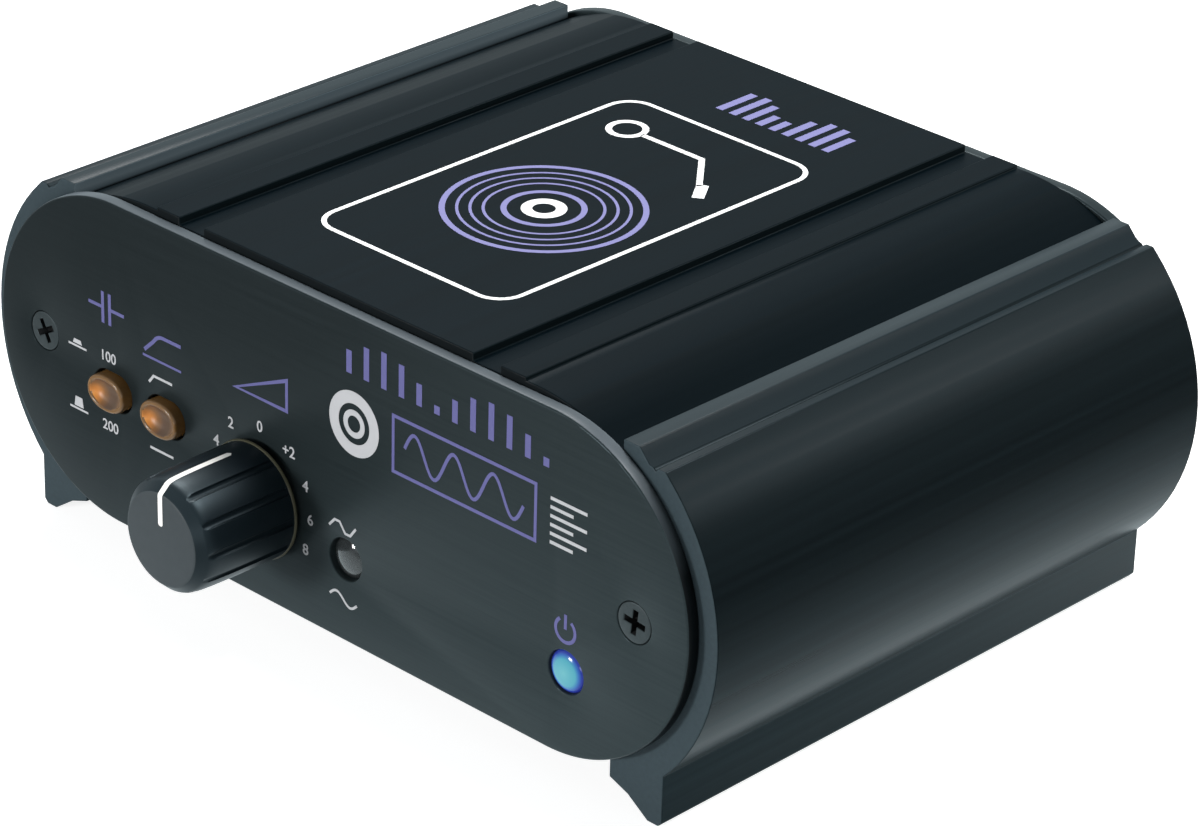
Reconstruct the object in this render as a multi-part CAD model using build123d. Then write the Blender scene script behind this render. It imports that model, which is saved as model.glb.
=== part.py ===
"""Desktop phono preamplifier in an extruded aluminium case, one solid or group of solids per piece.

Millimetres. +Z is up, the controls face -Y and the sockets face +Y. The origin is on the surface that
the two foot rails stand on, midway across the case and midway between the foremost and rearmost points.
"""

from build123d import *
from math import cos, pi, radians, sin, sqrt
import os

# ---------------------------------------------------------------- driving sizes

# end plates: an obround, two half circles joined by straight edges
plate_radius = 20.5
plate_arc_x = 35.0
plate_foot_gap = 4.05
plate_thickness = 1.8
body_depth = 84.6

# extruded case, outside
flank_margin = 2.5
flank_widest_drop = 0.35
foot_width = 7.85
foot_tuck = 7.05
foot_side_height = 6.4
foot_edge_break = 0.55
foot_land_width = 2.1
foot_bend_width = 5.1
foot_bend_height = 2.05
foot_shoulder_height = 3.05
underside_lap = 0.15
top_proud = 1.0
plateau_half_width = 21.5
top_groove_width = 4.1
top_groove_depth = 1.0
top_strip_width = 3.8
shoulder_margin = 1.5
shoulder_centre_inset = 4.6
shoulder_centre_drop = 0.9
ridge_inset = 11.75
ridge_width = 2.3
ridge_drop = 0.95
ridge_slope_width = 1.4
ridge_slope_drop = 1.55
ledge_width = 0.6
ledge_fall = 0.15
vee_half_width = 0.35
vee_depth = 0.3
lip_width = 1.0
lip_drop = 1.6
lip_break = 0.5

# extruded case, inside
plate_lap = 1.3
shoulder_wall = 1.8
ridge_wall = 1.85
boss_inset = 7.8
boss_radius = 3.0
boss_web = 3.2
rail_thickness = 1.2
rail_reach = 1.9
fit_gap = 0.1

# fixings
screw_radius = 1.5
screw_length = 10.0
screw_head_radius = 2.75
thread_gap = 0.02
cross_width = 0.6
cross_length = 3.2
cross_depth = 1.1

# main board
board_thickness = 1.6
board_rise = 5.2
board_bite = 0.6
board_front_gap = 0.5
board_rear_gap = 0.5
pin_hole_gap = 0.15
tail_length = 1.4

# gain control
pot_x = -10.4
pot_height_on_board = 6.5
pot_width = 9.7
pot_depth = 6.8
pot_top = 4.9
pot_wall = 1.2
rotor_radius = 3.9
rotor_thickness = 1.5
shaft_radius = 3.0
shaft_flat = 1.5
shaft_gap = 0.03
bush_radius = 3.5
bush_reach = 2.8
bush_hole_gap = 0.1
washer_radius = 5.0
washer_thickness = 0.4
nut_across_flats = 9.0
nut_thickness = 1.8
pot_pin_pitch = 2.5
pot_pin_radius = 0.4

# knob
knob_radius = 7.05
knob_length = 14.1
knob_gap = 0.8
knob_chamfer = 1.5
knob_flutes = 10
flute_radius = 0.55
flute_depth = 0.42
knob_rim = 0.7
knob_recess_gap = 0.4
knob_recess_depth = 2.8
knob_face_wall = 3.4
pointer_width = 0.6
pointer_depth = 0.12
pointer_start = 3.5
pointer_inner_radius = 1.7

# push switches
button_inset = 19.8
button_pitch = 9.2
button_height_on_board = 10.5
button_width = 6.2
button_height = 4.8
button_corner = 2.2
button_proud = 1.5
button_length = 6.0
button_hole_gap = 0.15
button_travel = 1.5
plunger_side = 3.0
plunger_gap = 0.1
plunger_socket = 3.0
slider_side = 4.6
slider_length = 2.0
switch_width = 8.4
switch_height = 6.6
switch_length = 12.0
switch_wall = 1.2
switch_gap = 1.0
spring_radius = 1.6
spring_wire_radius = 0.15
spring_turns = 6
switch_pin_radius = 0.35
switch_pin_pitch = 2.0
switch_board_thickness = 1.6
switch_board_margin = 1.2
header_pin_count = 6
header_spacing = 2.54
header_side = 2.5
header_pin_radius = 0.32

# indicator lamps
clip_led_x = 3.6
power_led_inset = 17.55
led_height_on_board = 3.95
led_radius = 2.5
led_hole_gap = 0.1
led_setback = 0.2
led_length = 8.6
led_flange = 0.4
led_flange_thickness = 1.0
led_lead_radius = 0.28
led_lead_pitch = 2.54
led_lead_run = 2.2

# phono sockets, two to a block
input_socket_inset = 18.5
output_socket_x = 6.0
socket_pitch = 15.0
socket_height_on_board = 11.45
socket_reach = 9.5
shell_radius = 4.15
shell_wall = 0.75
shell_root_step = 0.3
collar_radius = 5.0
collar_reach = 0.4
collar_gap = 0.15
block_depth = 11.0
block_side = 5.5
block_top = 6.0
block_back_wall = 1.8
insulator_setback = 0.8
contact_radius = 2.0
contact_wall = 0.38
contact_setback = 0.6
socket_pin_radius = 0.5
block_screw_head_gap = 0.15
block_screw_head_height = 1.8
block_screw_length = 8.0

# power inlet
inlet_inset = 19.5
inlet_height_on_board = 6.5
inlet_width = 9.0
inlet_depth = 14.0
inlet_top = 4.8
inlet_nose_radius = 4.4
inlet_nose_reach = 0.2
inlet_bore_radius = 3.15
inlet_bore_depth = 9.5
inlet_pin_radius = 1.05
inlet_pin_setback = 0.8
inlet_tag_width = 1.6
inlet_tag_thickness = 0.5

# ground terminal
ground_x = -8.0
stud_radius = 2.0
stud_reach = 9.3
stud_head_radius = 4.0
stud_head_height = 2.6
stud_hole_gap = 0.15
lug_thickness = 0.6
lug_radius = 4.2
lug_tail_width = 3.0
lug_tail_length = 9.0
stud_nut_across_flats = 7.0
stud_nut_thickness = 2.4
ground_washer_radius = 4.5
ground_washer_thickness = 0.8
thumb_nut_radius = 4.5
thumb_nut_height = 4.8
thumb_nut_teeth = 16
tooth_radius = 0.45
ground_wire_radius = 0.6

# parts on the main board
rail_clearance = 1.1
zone_gap = 2.4
chip_count = 2
chip_size = (6.4, 9.8, 3.4)
chip_standoff = 0.5
chip_leg_pitch = 2.54
chip_leg_size = (0.3, 0.5)
small_can_radius = 2.5
small_can_height = 7.0
small_can_count = 6
filter_can_radius = 5.0
filter_can_height = 16.0
filter_can_count = 2
filter_can_gap = 0.4
film_size = (7.2, 3.0, 6.5)
film_count = 6
resistor_radius = 1.15
resistor_length = 6.3
resistor_count = 8
diode_radius = 1.35
diode_length = 5.2
diode_count = 4
lead_radius = 0.3
lead_run = 1.8
lead_bend = 0.8
part_seat = 0.15
regulator_count = 2
regulator_radius = 2.4
regulator_flat = 1.2
regulator_height = 4.8
regulator_standoff = 3.0
regulator_leg_radius = 0.25
regulator_leg_pitch = 1.27

# ---------------------------------------------------------------- derived places

knob_reach = knob_gap + knob_length
front_y = (knob_reach - body_depth - socket_reach) / 2
rear_y = front_y + body_depth
front_inner_y = front_y + plate_thickness
rear_inner_y = rear_y - plate_thickness

plate_side_x = plate_arc_x + plate_radius
case_half_width = plate_side_x + flank_margin
foot_outer_x = case_half_width - foot_tuck
boss_x = plate_side_x - boss_inset
plate_bottom_z = plate_foot_gap
plate_centre_z = plate_bottom_z + plate_radius
plate_top_z = plate_centre_z + plate_radius
underside_z = plate_bottom_z - underside_lap
top_z = plate_top_z + top_proud
cavity_radius = plate_radius - plate_lap
ridge_inner_x = plate_side_x - ridge_inset
ridge_z = plate_top_z - ridge_drop
strip_outer_x = plateau_half_width + top_groove_width + top_strip_width
shoulder_radius = plate_radius + shoulder_margin
shoulder_centre_x = plate_arc_x - shoulder_centre_inset
shoulder_centre_z = plate_centre_z - shoulder_centre_drop

board_top_z = plate_bottom_z + plate_lap + board_rise
board_bottom_z = board_top_z - board_thickness
hollow_half_width = plate_arc_x + sqrt(cavity_radius**2 - (plate_centre_z - board_bottom_z) ** 2)
board_half_width = hollow_half_width + board_bite
rail_inner_x = board_half_width - rail_reach
pot_z = board_top_z + pot_height_on_board
button_z = board_top_z + button_height_on_board
led_z = board_top_z + led_height_on_board
socket_z = board_top_z + socket_height_on_board
inlet_z = board_top_z + inlet_height_on_board
board_front_y = front_inner_y + board_front_gap
board_rear_y = rear_inner_y - board_rear_gap
tail_z = board_bottom_z - tail_length

bush_tip_y = front_y - bush_reach
washer_y = front_y - washer_thickness
nut_y = washer_y - nut_thickness
knob_base_y = front_y - knob_gap
knob_face_y = knob_base_y - knob_length
recess_end_y = knob_base_y - knob_recess_depth
shaft_tip_y = knob_face_y + knob_face_wall

button_face_y = front_y - button_proud
button_back_y = button_face_y + button_length
switch_front_y = button_back_y + button_travel + switch_gap
switch_back_y = switch_front_y + switch_length
switch_board_back_y = switch_back_y + switch_board_thickness
slider_y = switch_front_y + switch_wall + plunger_gap
slider_back_y = slider_y + slider_length
chamber_back_y = switch_back_y - switch_wall
button_x = (button_inset - plate_side_x, button_inset - plate_side_x + button_pitch)
switch_mid_x = sum(button_x) / 2
led_x = {"clip_led": clip_led_x, "power_led": plate_side_x - power_led_inset}

input_socket_x = input_socket_inset - plate_side_x
socket_x = {
    "input_socket_block": (input_socket_x, input_socket_x + socket_pitch),
    "output_socket_block": (output_socket_x, output_socket_x + socket_pitch),
}
block_screw_head = socket_pitch / 2 - collar_radius - block_screw_head_gap
inlet_x = plate_side_x - inlet_inset
stud_nut_y = rear_y + stud_nut_thickness
ground_washer_y = stud_nut_y + ground_washer_thickness
thumb_nut_y = ground_washer_y + thumb_nut_height

# rows of parts on the main board, front to rear, each with a signal side and a supply side
supply_zone = (
    rail_inner_x - rail_clearance - filter_can_count * (2 * filter_can_radius + filter_can_gap),
    rail_inner_x - rail_clearance,
)
signal_zone = (rail_clearance - rail_inner_x, supply_zone[0] - zone_gap)
lead_allowance = 2 * (lead_run + lead_radius)
row_depths = (
    resistor_length + lead_allowance,
    max(chip_size[1], 2 * filter_can_radius),
    max(2 * small_can_radius, diode_length + lead_allowance),
    film_size[1],
)
rows_front_y = switch_board_back_y + header_side
rows_rear_y = rear_inner_y - block_depth
row_gap = (rows_rear_y - rows_front_y - sum(row_depths)) / (len(row_depths) + 1)
row_y = [
    rows_front_y + (index + 1) * row_gap + sum(row_depths[:index]) + depth / 2
    for index, depth in enumerate(row_depths)
]


# ---------------------------------------------------------------- shape helpers


def prism(section, y_from, y_to):
    """Solid between two Y stations, of a section drawn as (x, z)."""
    end = Plane((0, y_to, 0), x_dir=(1, 0, 0), z_dir=(0, -1, 0))
    return extrude(end * section, amount=y_to - y_from)


def rod(x, z, radius, y_from, y_to):
    """Round bar along Y."""
    return prism(Pos(x, z) * Circle(radius), y_from, y_to)


def turned(outline, x, z):
    """Solid of revolution about a line along Y, from (radius, y) points."""
    section = make_face(Polyline(*outline, close=True))
    return Pos(x, 0, z) * revolve(section, Axis.Y)


def block(x_span, y_span, z_span):
    """Box between two x, two y and two z values."""
    size = [high - low for low, high in (x_span, y_span, z_span)]
    centre = [(high + low) / 2 for low, high in (x_span, y_span, z_span)]
    return Pos(*centre) * Box(*size)


def post(x, y, radius, z_from, z_to):
    """Upright round bar."""
    return Pos(x, y, (z_from + z_to) / 2) * Cylinder(radius, z_to - z_from)


def wire(points, radius, bend):
    """Round wire with filleted bends."""
    path = FilletPolyline(*points, radius=bend)
    start = Plane(origin=path @ 0, z_dir=path % 0)
    return sweep(start * Circle(radius), path=path)


def hexagon(across_flats):
    """Nut outline."""
    return RegularPolygon(across_flats / 2, 6, major_radius=False)


def obround(arc_x, radius, centre_z):
    """Two half circles joined by straight edges, drawn as (x, z)."""
    middle = Rectangle(2 * arc_x, 2 * radius)
    ends = [Pos(side * arc_x, 0) * Circle(radius) for side in (-1, 1)]
    return Pos(0, centre_z) * (middle + ends)


def rounded(width, height, corner):
    """Rounded rectangle."""
    return RectangleRounded(width, height, min(corner, 0.49 * width, 0.49 * height))


def corner_radius(across_flats):
    """Distance from the centre of a hexagon to its corners."""
    return across_flats / 2 / cos(pi / 6)


def cells(count, zone):
    """Middles of equal cells between two x values."""
    low, high = zone
    return [low + (index + 0.5) * (high - low) / count for index in range(count)]


def group(solids):
    """Several separate solids in one node."""
    return Compound(children=list(solids))


# ---------------------------------------------------------------- case and plates


def shoulder_height(x):
    """Height of the case's rounded shoulder at a given x."""
    return shoulder_centre_z + sqrt(shoulder_radius**2 - (x - shoulder_centre_x) ** 2)


def case_outline():
    """Outer outline of the extrusion, feet and ridges included."""
    foot_inner_x = foot_outer_x - foot_width
    foot = Polyline(
        (0, underside_z),
        (foot_inner_x, underside_z),
        (foot_inner_x, foot_shoulder_height),
        (foot_outer_x - foot_bend_width, foot_bend_height),
        (foot_outer_x - foot_land_width, 0),
        (foot_outer_x - foot_edge_break, 0),
        (foot_outer_x, foot_edge_break),
        (foot_outer_x, foot_side_height),
    )
    ridge_outer_x = ridge_inner_x + ridge_width
    ledge_x = ridge_outer_x + ridge_slope_width
    ledge_z = ridge_z - ridge_slope_drop
    vee_x = ledge_x + ledge_width + vee_half_width
    vee_z = ledge_z - ledge_fall
    lip_x = vee_x + vee_half_width
    lip_z = ridge_z - lip_drop
    corner = (lip_x + lip_width + lip_break, lip_z - lip_break)
    flank = ThreePointArc(
        (foot_outer_x, foot_side_height),
        (case_half_width, plate_centre_z - flank_widest_drop),
        corner,
    )
    crest = Polyline(
        corner,
        (lip_x + lip_width, lip_z),
        (lip_x, lip_z),
        (vee_x, vee_z - vee_depth),
        (ledge_x + ledge_width, vee_z),
        (ledge_x, ledge_z),
        (ridge_outer_x, ridge_z),
        (ridge_inner_x, ridge_z),
        (ridge_inner_x, shoulder_height(ridge_inner_x)),
    )
    shoulder_mid_x = (strip_outer_x + ridge_inner_x) / 2
    shoulder = ThreePointArc(
        (ridge_inner_x, shoulder_height(ridge_inner_x)),
        (shoulder_mid_x, shoulder_height(shoulder_mid_x)),
        (strip_outer_x, shoulder_height(strip_outer_x)),
    )
    groove_outer_x = plateau_half_width + top_groove_width
    top = Polyline(
        (strip_outer_x, shoulder_height(strip_outer_x)),
        (strip_outer_x, top_z),
        (groove_outer_x, top_z),
        (groove_outer_x, top_z - top_groove_depth),
        (plateau_half_width, top_z - top_groove_depth),
        (plateau_half_width, top_z),
        (0, top_z),
        (0, underside_z),
    )
    half = make_face([foot, flank, crest, shoulder, top])
    return half + mirror(half, about=Plane.YZ)


def case_cavity():
    """Hollow of the extrusion: an obround, held back where the shoulders come low."""
    hollow = obround(plate_arc_x, cavity_radius, plate_centre_z)
    under_shoulder = obround(shoulder_centre_x, shoulder_radius - shoulder_wall, shoulder_centre_z)
    lower_half = Pos(0, plate_centre_z - plate_radius) * Rectangle(4 * plate_arc_x, 2 * plate_radius)
    pocket_x = ridge_inner_x + ridge_wall
    pockets = [
        Pos(side * (pocket_x + plate_radius), plate_centre_z) * Rectangle(2 * plate_radius, 4 * plate_radius)
        for side in (-1, 1)
    ]
    return hollow & (under_shoulder + lower_half + pockets)


def extruded_case():
    """Sleeve with screw bosses and the rails that the main board slides between."""
    section = case_outline() - case_cavity()
    slot = (board_bottom_z - fit_gap, board_top_z + fit_gap)
    for side in (-1, 1):
        web_width = plate_side_x - boss_x
        section += Pos(side * boss_x, plate_centre_z) * Circle(boss_radius)
        section += Pos(side * (boss_x + web_width / 2), plate_centre_z) * Rectangle(web_width, boss_web)
        rail_width = foot_outer_x - rail_inner_x
        rail_x = side * (rail_inner_x + rail_width / 2)
        for rail_z in (slot[0] - rail_thickness / 2, slot[1] + rail_thickness / 2):
            section += Pos(rail_x, rail_z) * Rectangle(rail_width, rail_thickness)
        groove_width = rail_reach + 2 * fit_gap
        groove_x = board_half_width + fit_gap - groove_width / 2 + fit_gap
        section -= Pos(side * groove_x, sum(slot) / 2) * Rectangle(groove_width, slot[1] - slot[0])
        section -= Pos(side * boss_x, plate_centre_z) * Circle(screw_radius + thread_gap)
    return prism(section, front_inner_y, rear_inner_y)


def countersunk(outer_y, inward, gap):
    """Countersunk screw, or with a gap the hole that it sits in; inward is +1 or -1 along Y."""
    head_depth = screw_head_radius - screw_radius
    radius = screw_radius + gap
    outline = [
        (0, outer_y),
        (screw_head_radius + gap, outer_y),
        (radius, outer_y + inward * head_depth),
        (radius, outer_y + inward * screw_length),
        (0, outer_y + inward * screw_length),
    ]
    return outline


def plate_screws(outer_y, inward):
    """The two cross-head screws of one end plate."""
    screws = []
    for side in (-1, 1):
        screw = turned(countersunk(outer_y, inward, 0), side * boss_x, plate_centre_z)
        for size in ((cross_length, cross_width), (cross_width, cross_length)):
            arm = Pos(side * boss_x, plate_centre_z) * Rectangle(*size)
            ends = sorted((outer_y - inward * cross_depth, outer_y + inward * cross_depth))
            screw -= prism(arm, *ends)
        screws.append(screw)
    return group(screws)


def front_plate():
    """Front plate with the openings of the controls and lamps."""
    plate = prism(obround(plate_arc_x, plate_radius, plate_centre_z), front_y, front_inner_y)
    for side in (-1, 1):
        plate -= turned(countersunk(front_y, 1, thread_gap), side * boss_x, plate_centre_z)
    for x in button_x:
        opening = rounded(
            button_width + 2 * button_hole_gap,
            button_height + 2 * button_hole_gap,
            button_corner + button_hole_gap,
        )
        plate -= prism(Pos(x, button_z) * opening, front_y, front_inner_y)
    plate -= rod(pot_x, pot_z, bush_radius + bush_hole_gap, front_y, front_inner_y)
    for x in led_x.values():
        plate -= rod(x, led_z, led_radius + led_hole_gap, front_y, front_inner_y)
    return plate


def rear_plate():
    """Rear plate with the openings of the sockets and the ground terminal."""
    plate = prism(obround(plate_arc_x, plate_radius, plate_centre_z), rear_inner_y, rear_y)
    for side in (-1, 1):
        plate -= turned(countersunk(rear_y, -1, thread_gap), side * boss_x, plate_centre_z)
    for pair in socket_x.values():
        for x in pair:
            plate -= rod(x, socket_z, collar_radius + collar_gap, rear_inner_y, rear_y)
        plate -= rod(sum(pair) / 2, socket_z, screw_radius + fit_gap, rear_inner_y, rear_y)
    plate -= rod(inlet_x, inlet_z, inlet_nose_radius + collar_gap, rear_inner_y, rear_y)
    plate -= rod(ground_x, socket_z, stud_radius + stud_hole_gap, rear_inner_y, rear_y)
    return plate


# ---------------------------------------------------------------- gain control


def shaft_section(gap):
    """Flatted shaft outline."""
    flat_height = shaft_flat + gap
    return Circle(shaft_radius + gap) - Pos(0, flat_height + shaft_radius) * Rectangle(
        4 * shaft_radius, 2 * shaft_radius
    )


def gain_pot_housing():
    """Potentiometer housing: square body with a round chamber for the wiper disc."""
    half = pot_width / 2
    back_y = front_inner_y + pot_depth
    body = block((pot_x - half, pot_x + half), (front_inner_y, back_y), (board_top_z, pot_z + pot_top))
    body -= rod(pot_x, pot_z, rotor_radius + fit_gap, front_inner_y + pot_wall, back_y - pot_wall)
    return body - rod(pot_x, pot_z, bush_radius, front_inner_y, front_inner_y + pot_wall)


def gain_pot_bush():
    """Threaded bush that the shaft turns in."""
    bush = rod(pot_x, pot_z, bush_radius, bush_tip_y, front_inner_y + pot_wall)
    return bush - rod(pot_x, pot_z, shaft_radius + shaft_gap, bush_tip_y, front_inner_y + pot_wall)


def gain_pot_shaft():
    """Shaft, round in the bush and flatted in the knob."""
    end_y = front_inner_y + pot_wall + fit_gap
    shaft = rod(pot_x, pot_z, shaft_radius, bush_tip_y, end_y)
    return shaft + prism(Pos(pot_x, pot_z) * shaft_section(0), shaft_tip_y, bush_tip_y)


def gain_pot_wiper():
    """Disc on the inner end of the shaft."""
    start_y = front_inner_y + pot_wall + fit_gap
    return rod(pot_x, pot_z, rotor_radius, start_y, start_y + rotor_thickness)


def gain_pot_washer():
    """Washer under the nut."""
    washer = rod(pot_x, pot_z, washer_radius, washer_y, front_y)
    return washer - rod(pot_x, pot_z, bush_radius + bush_hole_gap, washer_y, front_y)


def gain_pot_nut():
    """Nut that holds the potentiometer to the front plate."""
    nut = prism(Pos(pot_x, pot_z) * hexagon(nut_across_flats), nut_y, washer_y)
    return nut - rod(pot_x, pot_z, bush_radius + thread_gap, nut_y, washer_y)


def pot_pin_places():
    """Places of the potentiometer's three pins on the board."""
    y = front_inner_y + pot_depth + pot_pin_radius
    return [(pot_x + step * pot_pin_pitch, y) for step in (-1, 0, 1)]


def gain_pot_pins():
    """Solder pins, standing against the back of the housing."""
    return group(post(x, y, pot_pin_radius, tail_z, pot_z) for x, y in pot_pin_places())


def gain_knob():
    """Fluted knob with a chamfered face, a groove for the pointer and a recess over the nut."""
    knob = turned(
        [
            (0, knob_base_y),
            (knob_radius, knob_base_y),
            (knob_radius, knob_face_y + knob_chamfer),
            (knob_radius - knob_chamfer, knob_face_y),
            (0, knob_face_y),
        ],
        pot_x,
        pot_z,
    )
    flute_centre = knob_radius - flute_depth + flute_radius
    for index in range(knob_flutes):
        angle = pi / 2 + (index + 0.5) * 2 * pi / knob_flutes
        x = pot_x + flute_centre * cos(angle)
        z = pot_z + flute_centre * sin(angle)
        knob -= rod(x, z, flute_radius, knob_face_y, knob_base_y - knob_rim)
    recess_radius = corner_radius(nut_across_flats) + knob_recess_gap
    knob -= rod(pot_x, pot_z, recess_radius, recess_end_y, knob_base_y)
    knob -= prism(Pos(pot_x, pot_z) * shaft_section(thread_gap), shaft_tip_y - fit_gap, recess_end_y)
    return knob - knob_pointer_groove()


def knob_pointer_groove():
    """Shallow groove along the side, over the chamfer and onto the face, filled with paint."""
    half = pointer_width / 2
    start_y = knob_base_y - pointer_start
    rim_z = knob_radius - pointer_depth
    chamfer_start_y = knob_face_y + knob_chamfer
    outline = Polyline(
        (start_y, rim_z),
        (chamfer_start_y, rim_z),
        (knob_face_y + pointer_depth, rim_z - knob_chamfer + pointer_depth),
        (knob_face_y + pointer_depth, pointer_inner_radius),
        (knob_face_y - knob_chamfer, pointer_inner_radius),
        (knob_face_y - knob_chamfer, knob_radius + knob_chamfer),
        (start_y, knob_radius + knob_chamfer),
        close=True,
    )
    section = make_face(Plane.YZ * outline)
    return Pos(pot_x, 0, pot_z) * extrude(section, amount=half, both=True)


# ---------------------------------------------------------------- push switches


def push_button(x):
    """Oval button cap with a socket for the plunger."""
    outline = rounded(button_width, button_height, button_corner)
    cap = prism(Pos(x, button_z) * outline, button_face_y, button_back_y)
    socket = Pos(x, button_z) * Rectangle(plunger_side, plunger_side)
    return cap - prism(socket, button_back_y - plunger_socket, button_back_y)


def switch_plunger(x):
    """Square plunger with the slider that the switch body keeps."""
    stem = Pos(x, button_z) * Rectangle(plunger_side, plunger_side)
    slider = Pos(x, button_z) * Rectangle(slider_side, slider_side)
    plunger = prism(stem, button_back_y - plunger_socket, slider_y)
    return plunger + prism(slider, slider_y, slider_back_y)


def switch_body(x):
    """Hollow switch body."""
    half_width = switch_width / 2
    half_height = switch_height / 2
    body = block(
        (x - half_width, x + half_width),
        (switch_front_y, switch_back_y),
        (button_z - half_height, button_z + half_height),
    )
    chamber = Pos(x, button_z) * Rectangle(slider_side + 2 * plunger_gap, slider_side + 2 * plunger_gap)
    body -= prism(chamber, switch_front_y + switch_wall, chamber_back_y)
    window = Pos(x, button_z) * Rectangle(plunger_side + 2 * plunger_gap, plunger_side + 2 * plunger_gap)
    return body - prism(window, switch_front_y, switch_front_y + switch_wall)


def switch_spring(x):
    """Coil spring between the slider and the back of the switch body."""
    length = chamber_back_y - slider_back_y - 2 * spring_wire_radius
    coil = Helix(
        pitch=length / spring_turns,
        height=length,
        radius=spring_radius,
        center=(x, slider_back_y + spring_wire_radius, button_z),
        direction=(0, 1, 0),
    )
    start = Plane(origin=coil @ 0, z_dir=coil % 0)
    return sweep(start * Circle(spring_wire_radius), path=coil)


def switch_pin_places():
    """Places (x, z) of the six pins of each switch."""
    return [
        (x + column * switch_pin_pitch, button_z + row * switch_pin_pitch)
        for x in button_x
        for column in (-1, 0, 1)
        for row in (-1, 1)
    ]


def switch_pins():
    """Pins from the switch bodies through the switch board."""
    end_y = switch_board_back_y + tail_length
    return group(rod(x, z, switch_pin_radius, switch_back_y, end_y) for x, z in switch_pin_places())


def header_pin_places():
    """X places of the pins that join the switch board to the main board."""
    middle = (header_pin_count - 1) / 2
    return [switch_mid_x + (index - middle) * header_spacing for index in range(header_pin_count)]


def header_pin(x):
    """Bent pin from the switch board down through the main board."""
    down_y = switch_board_back_y + header_side / 2
    level_z = board_top_z + header_side / 2
    points = [(x, switch_back_y - tail_length, level_z), (x, down_y, level_z), (x, down_y, tail_z)]
    return wire(points, header_pin_radius, 2 * header_pin_radius)


def switch_board():
    """Upright board that carries both switches."""
    low_x = min(button_x) - switch_width / 2 - switch_board_margin
    high_x = max(button_x) + switch_width / 2 + switch_board_margin
    high_z = button_z + switch_height / 2 + switch_board_margin
    board = block((low_x, high_x), (switch_back_y, switch_board_back_y), (board_top_z, high_z))
    for x, z in switch_pin_places():
        board -= rod(x, z, switch_pin_radius + pin_hole_gap, switch_back_y, switch_board_back_y)
    for x in header_pin_places():
        z = board_top_z + header_side / 2
        board -= rod(x, z, header_pin_radius + pin_hole_gap, switch_back_y, switch_board_back_y)
    return board


def header_strip():
    """Plastic strip round the bent pins."""
    half = header_pin_count * header_spacing / 2
    strip = block(
        (switch_mid_x - half, switch_mid_x + half),
        (switch_board_back_y, switch_board_back_y + header_side),
        (board_top_z, board_top_z + header_side),
    )
    for x in header_pin_places():
        strip -= header_pin(x)
    return strip


# ---------------------------------------------------------------- lamps


def led(x):
    """Round lamp with a domed nose and a flange at its back."""
    tip_y = front_y + led_setback
    back_y = tip_y + led_length
    body = rod(x, led_z, led_radius, tip_y + led_radius, back_y)
    body += Pos(x, tip_y + led_radius, led_z) * Sphere(led_radius)
    return body + rod(x, led_z, led_radius + led_flange, back_y - led_flange_thickness, back_y)


def led_lead_places(x):
    """Places of a lamp's two leads on the board."""
    y = front_y + led_setback + led_length + led_lead_run
    return [(x + side * led_lead_pitch / 2, y) for side in (-1, 1)]


def led_leads(x):
    """Leads bent down to the board."""
    back_y = front_y + led_setback + led_length
    leads = []
    for lead_x, y in led_lead_places(x):
        points = [(lead_x, back_y, led_z), (lead_x, y, led_z), (lead_x, y, tail_z)]
        leads.append(wire(points, led_lead_radius, 3 * led_lead_radius))
    return group(leads)


# ---------------------------------------------------------------- phono sockets


def socket_back_y():
    """Y station of the closed end of the sockets."""
    return rear_inner_y - block_depth + block_back_wall


def socket_pin_y():
    """Y station of the sockets' solder pins."""
    return socket_back_y() + socket_pin_radius


def contact_back_y():
    """Y station where shells, insulators and contacts begin."""
    return socket_pin_y() + 2 * socket_pin_radius


def socket_block(pair):
    """Plastic block that holds two sockets behind the rear plate."""
    body = block(
        (pair[0] - block_side, pair[1] + block_side),
        (rear_inner_y - block_depth, rear_inner_y),
        (board_top_z, socket_z + block_top),
    )
    for x in pair:
        body += rod(x, socket_z, collar_radius, rear_inner_y, rear_y + collar_reach)
        body -= rod(x, socket_z, shell_radius - shell_root_step, socket_back_y(), rear_y + collar_reach)
        half = socket_pin_radius + pin_hole_gap
        y = socket_pin_y()
        body -= block((x - half, x + half), (y - socket_pin_radius, y + half), (board_top_z, socket_z))
    middle_x = sum(pair) / 2
    end_y = rear_y - block_screw_length
    return body - rod(middle_x, socket_z, screw_radius + thread_gap, end_y - fit_gap, rear_inner_y)


def socket_shells():
    """Plated barrels that the plugs push onto, a little thinner where the block holds them."""
    shells = []
    for x in all_socket_x():
        shell = rod(x, socket_z, shell_radius, rear_y + collar_reach, rear_y + socket_reach)
        shell += rod(x, socket_z, shell_radius - shell_root_step, contact_back_y(), rear_y + collar_reach)
        shell -= rod(x, socket_z, shell_radius - shell_wall, contact_back_y(), rear_y + socket_reach)
        shells.append(shell)
    return group(shells)


def all_socket_x():
    """X places of all sockets."""
    return [x for pair in socket_x.values() for x in pair]


def socket_insulators(which):
    """Coloured insulators of the left (0) or right (1) channel."""
    insulators = []
    end_y = rear_y + socket_reach - insulator_setback
    for pair in socket_x.values():
        ring = rod(pair[which], socket_z, shell_radius - shell_wall, contact_back_y(), end_y)
        ring -= rod(pair[which], socket_z, contact_radius, contact_back_y(), end_y)
        insulators.append(ring)
    return group(insulators)


def socket_contacts():
    """Centre contacts, hollow at the front for a plug's pin."""
    end_y = rear_y + socket_reach - insulator_setback - contact_setback
    closed_y = contact_back_y() + 2 * contact_radius
    contacts = []
    for x in all_socket_x():
        contact = rod(x, socket_z, contact_radius, contact_back_y(), end_y)
        contacts.append(contact - rod(x, socket_z, contact_radius - contact_wall, closed_y, end_y))
    return group(contacts)


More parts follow.
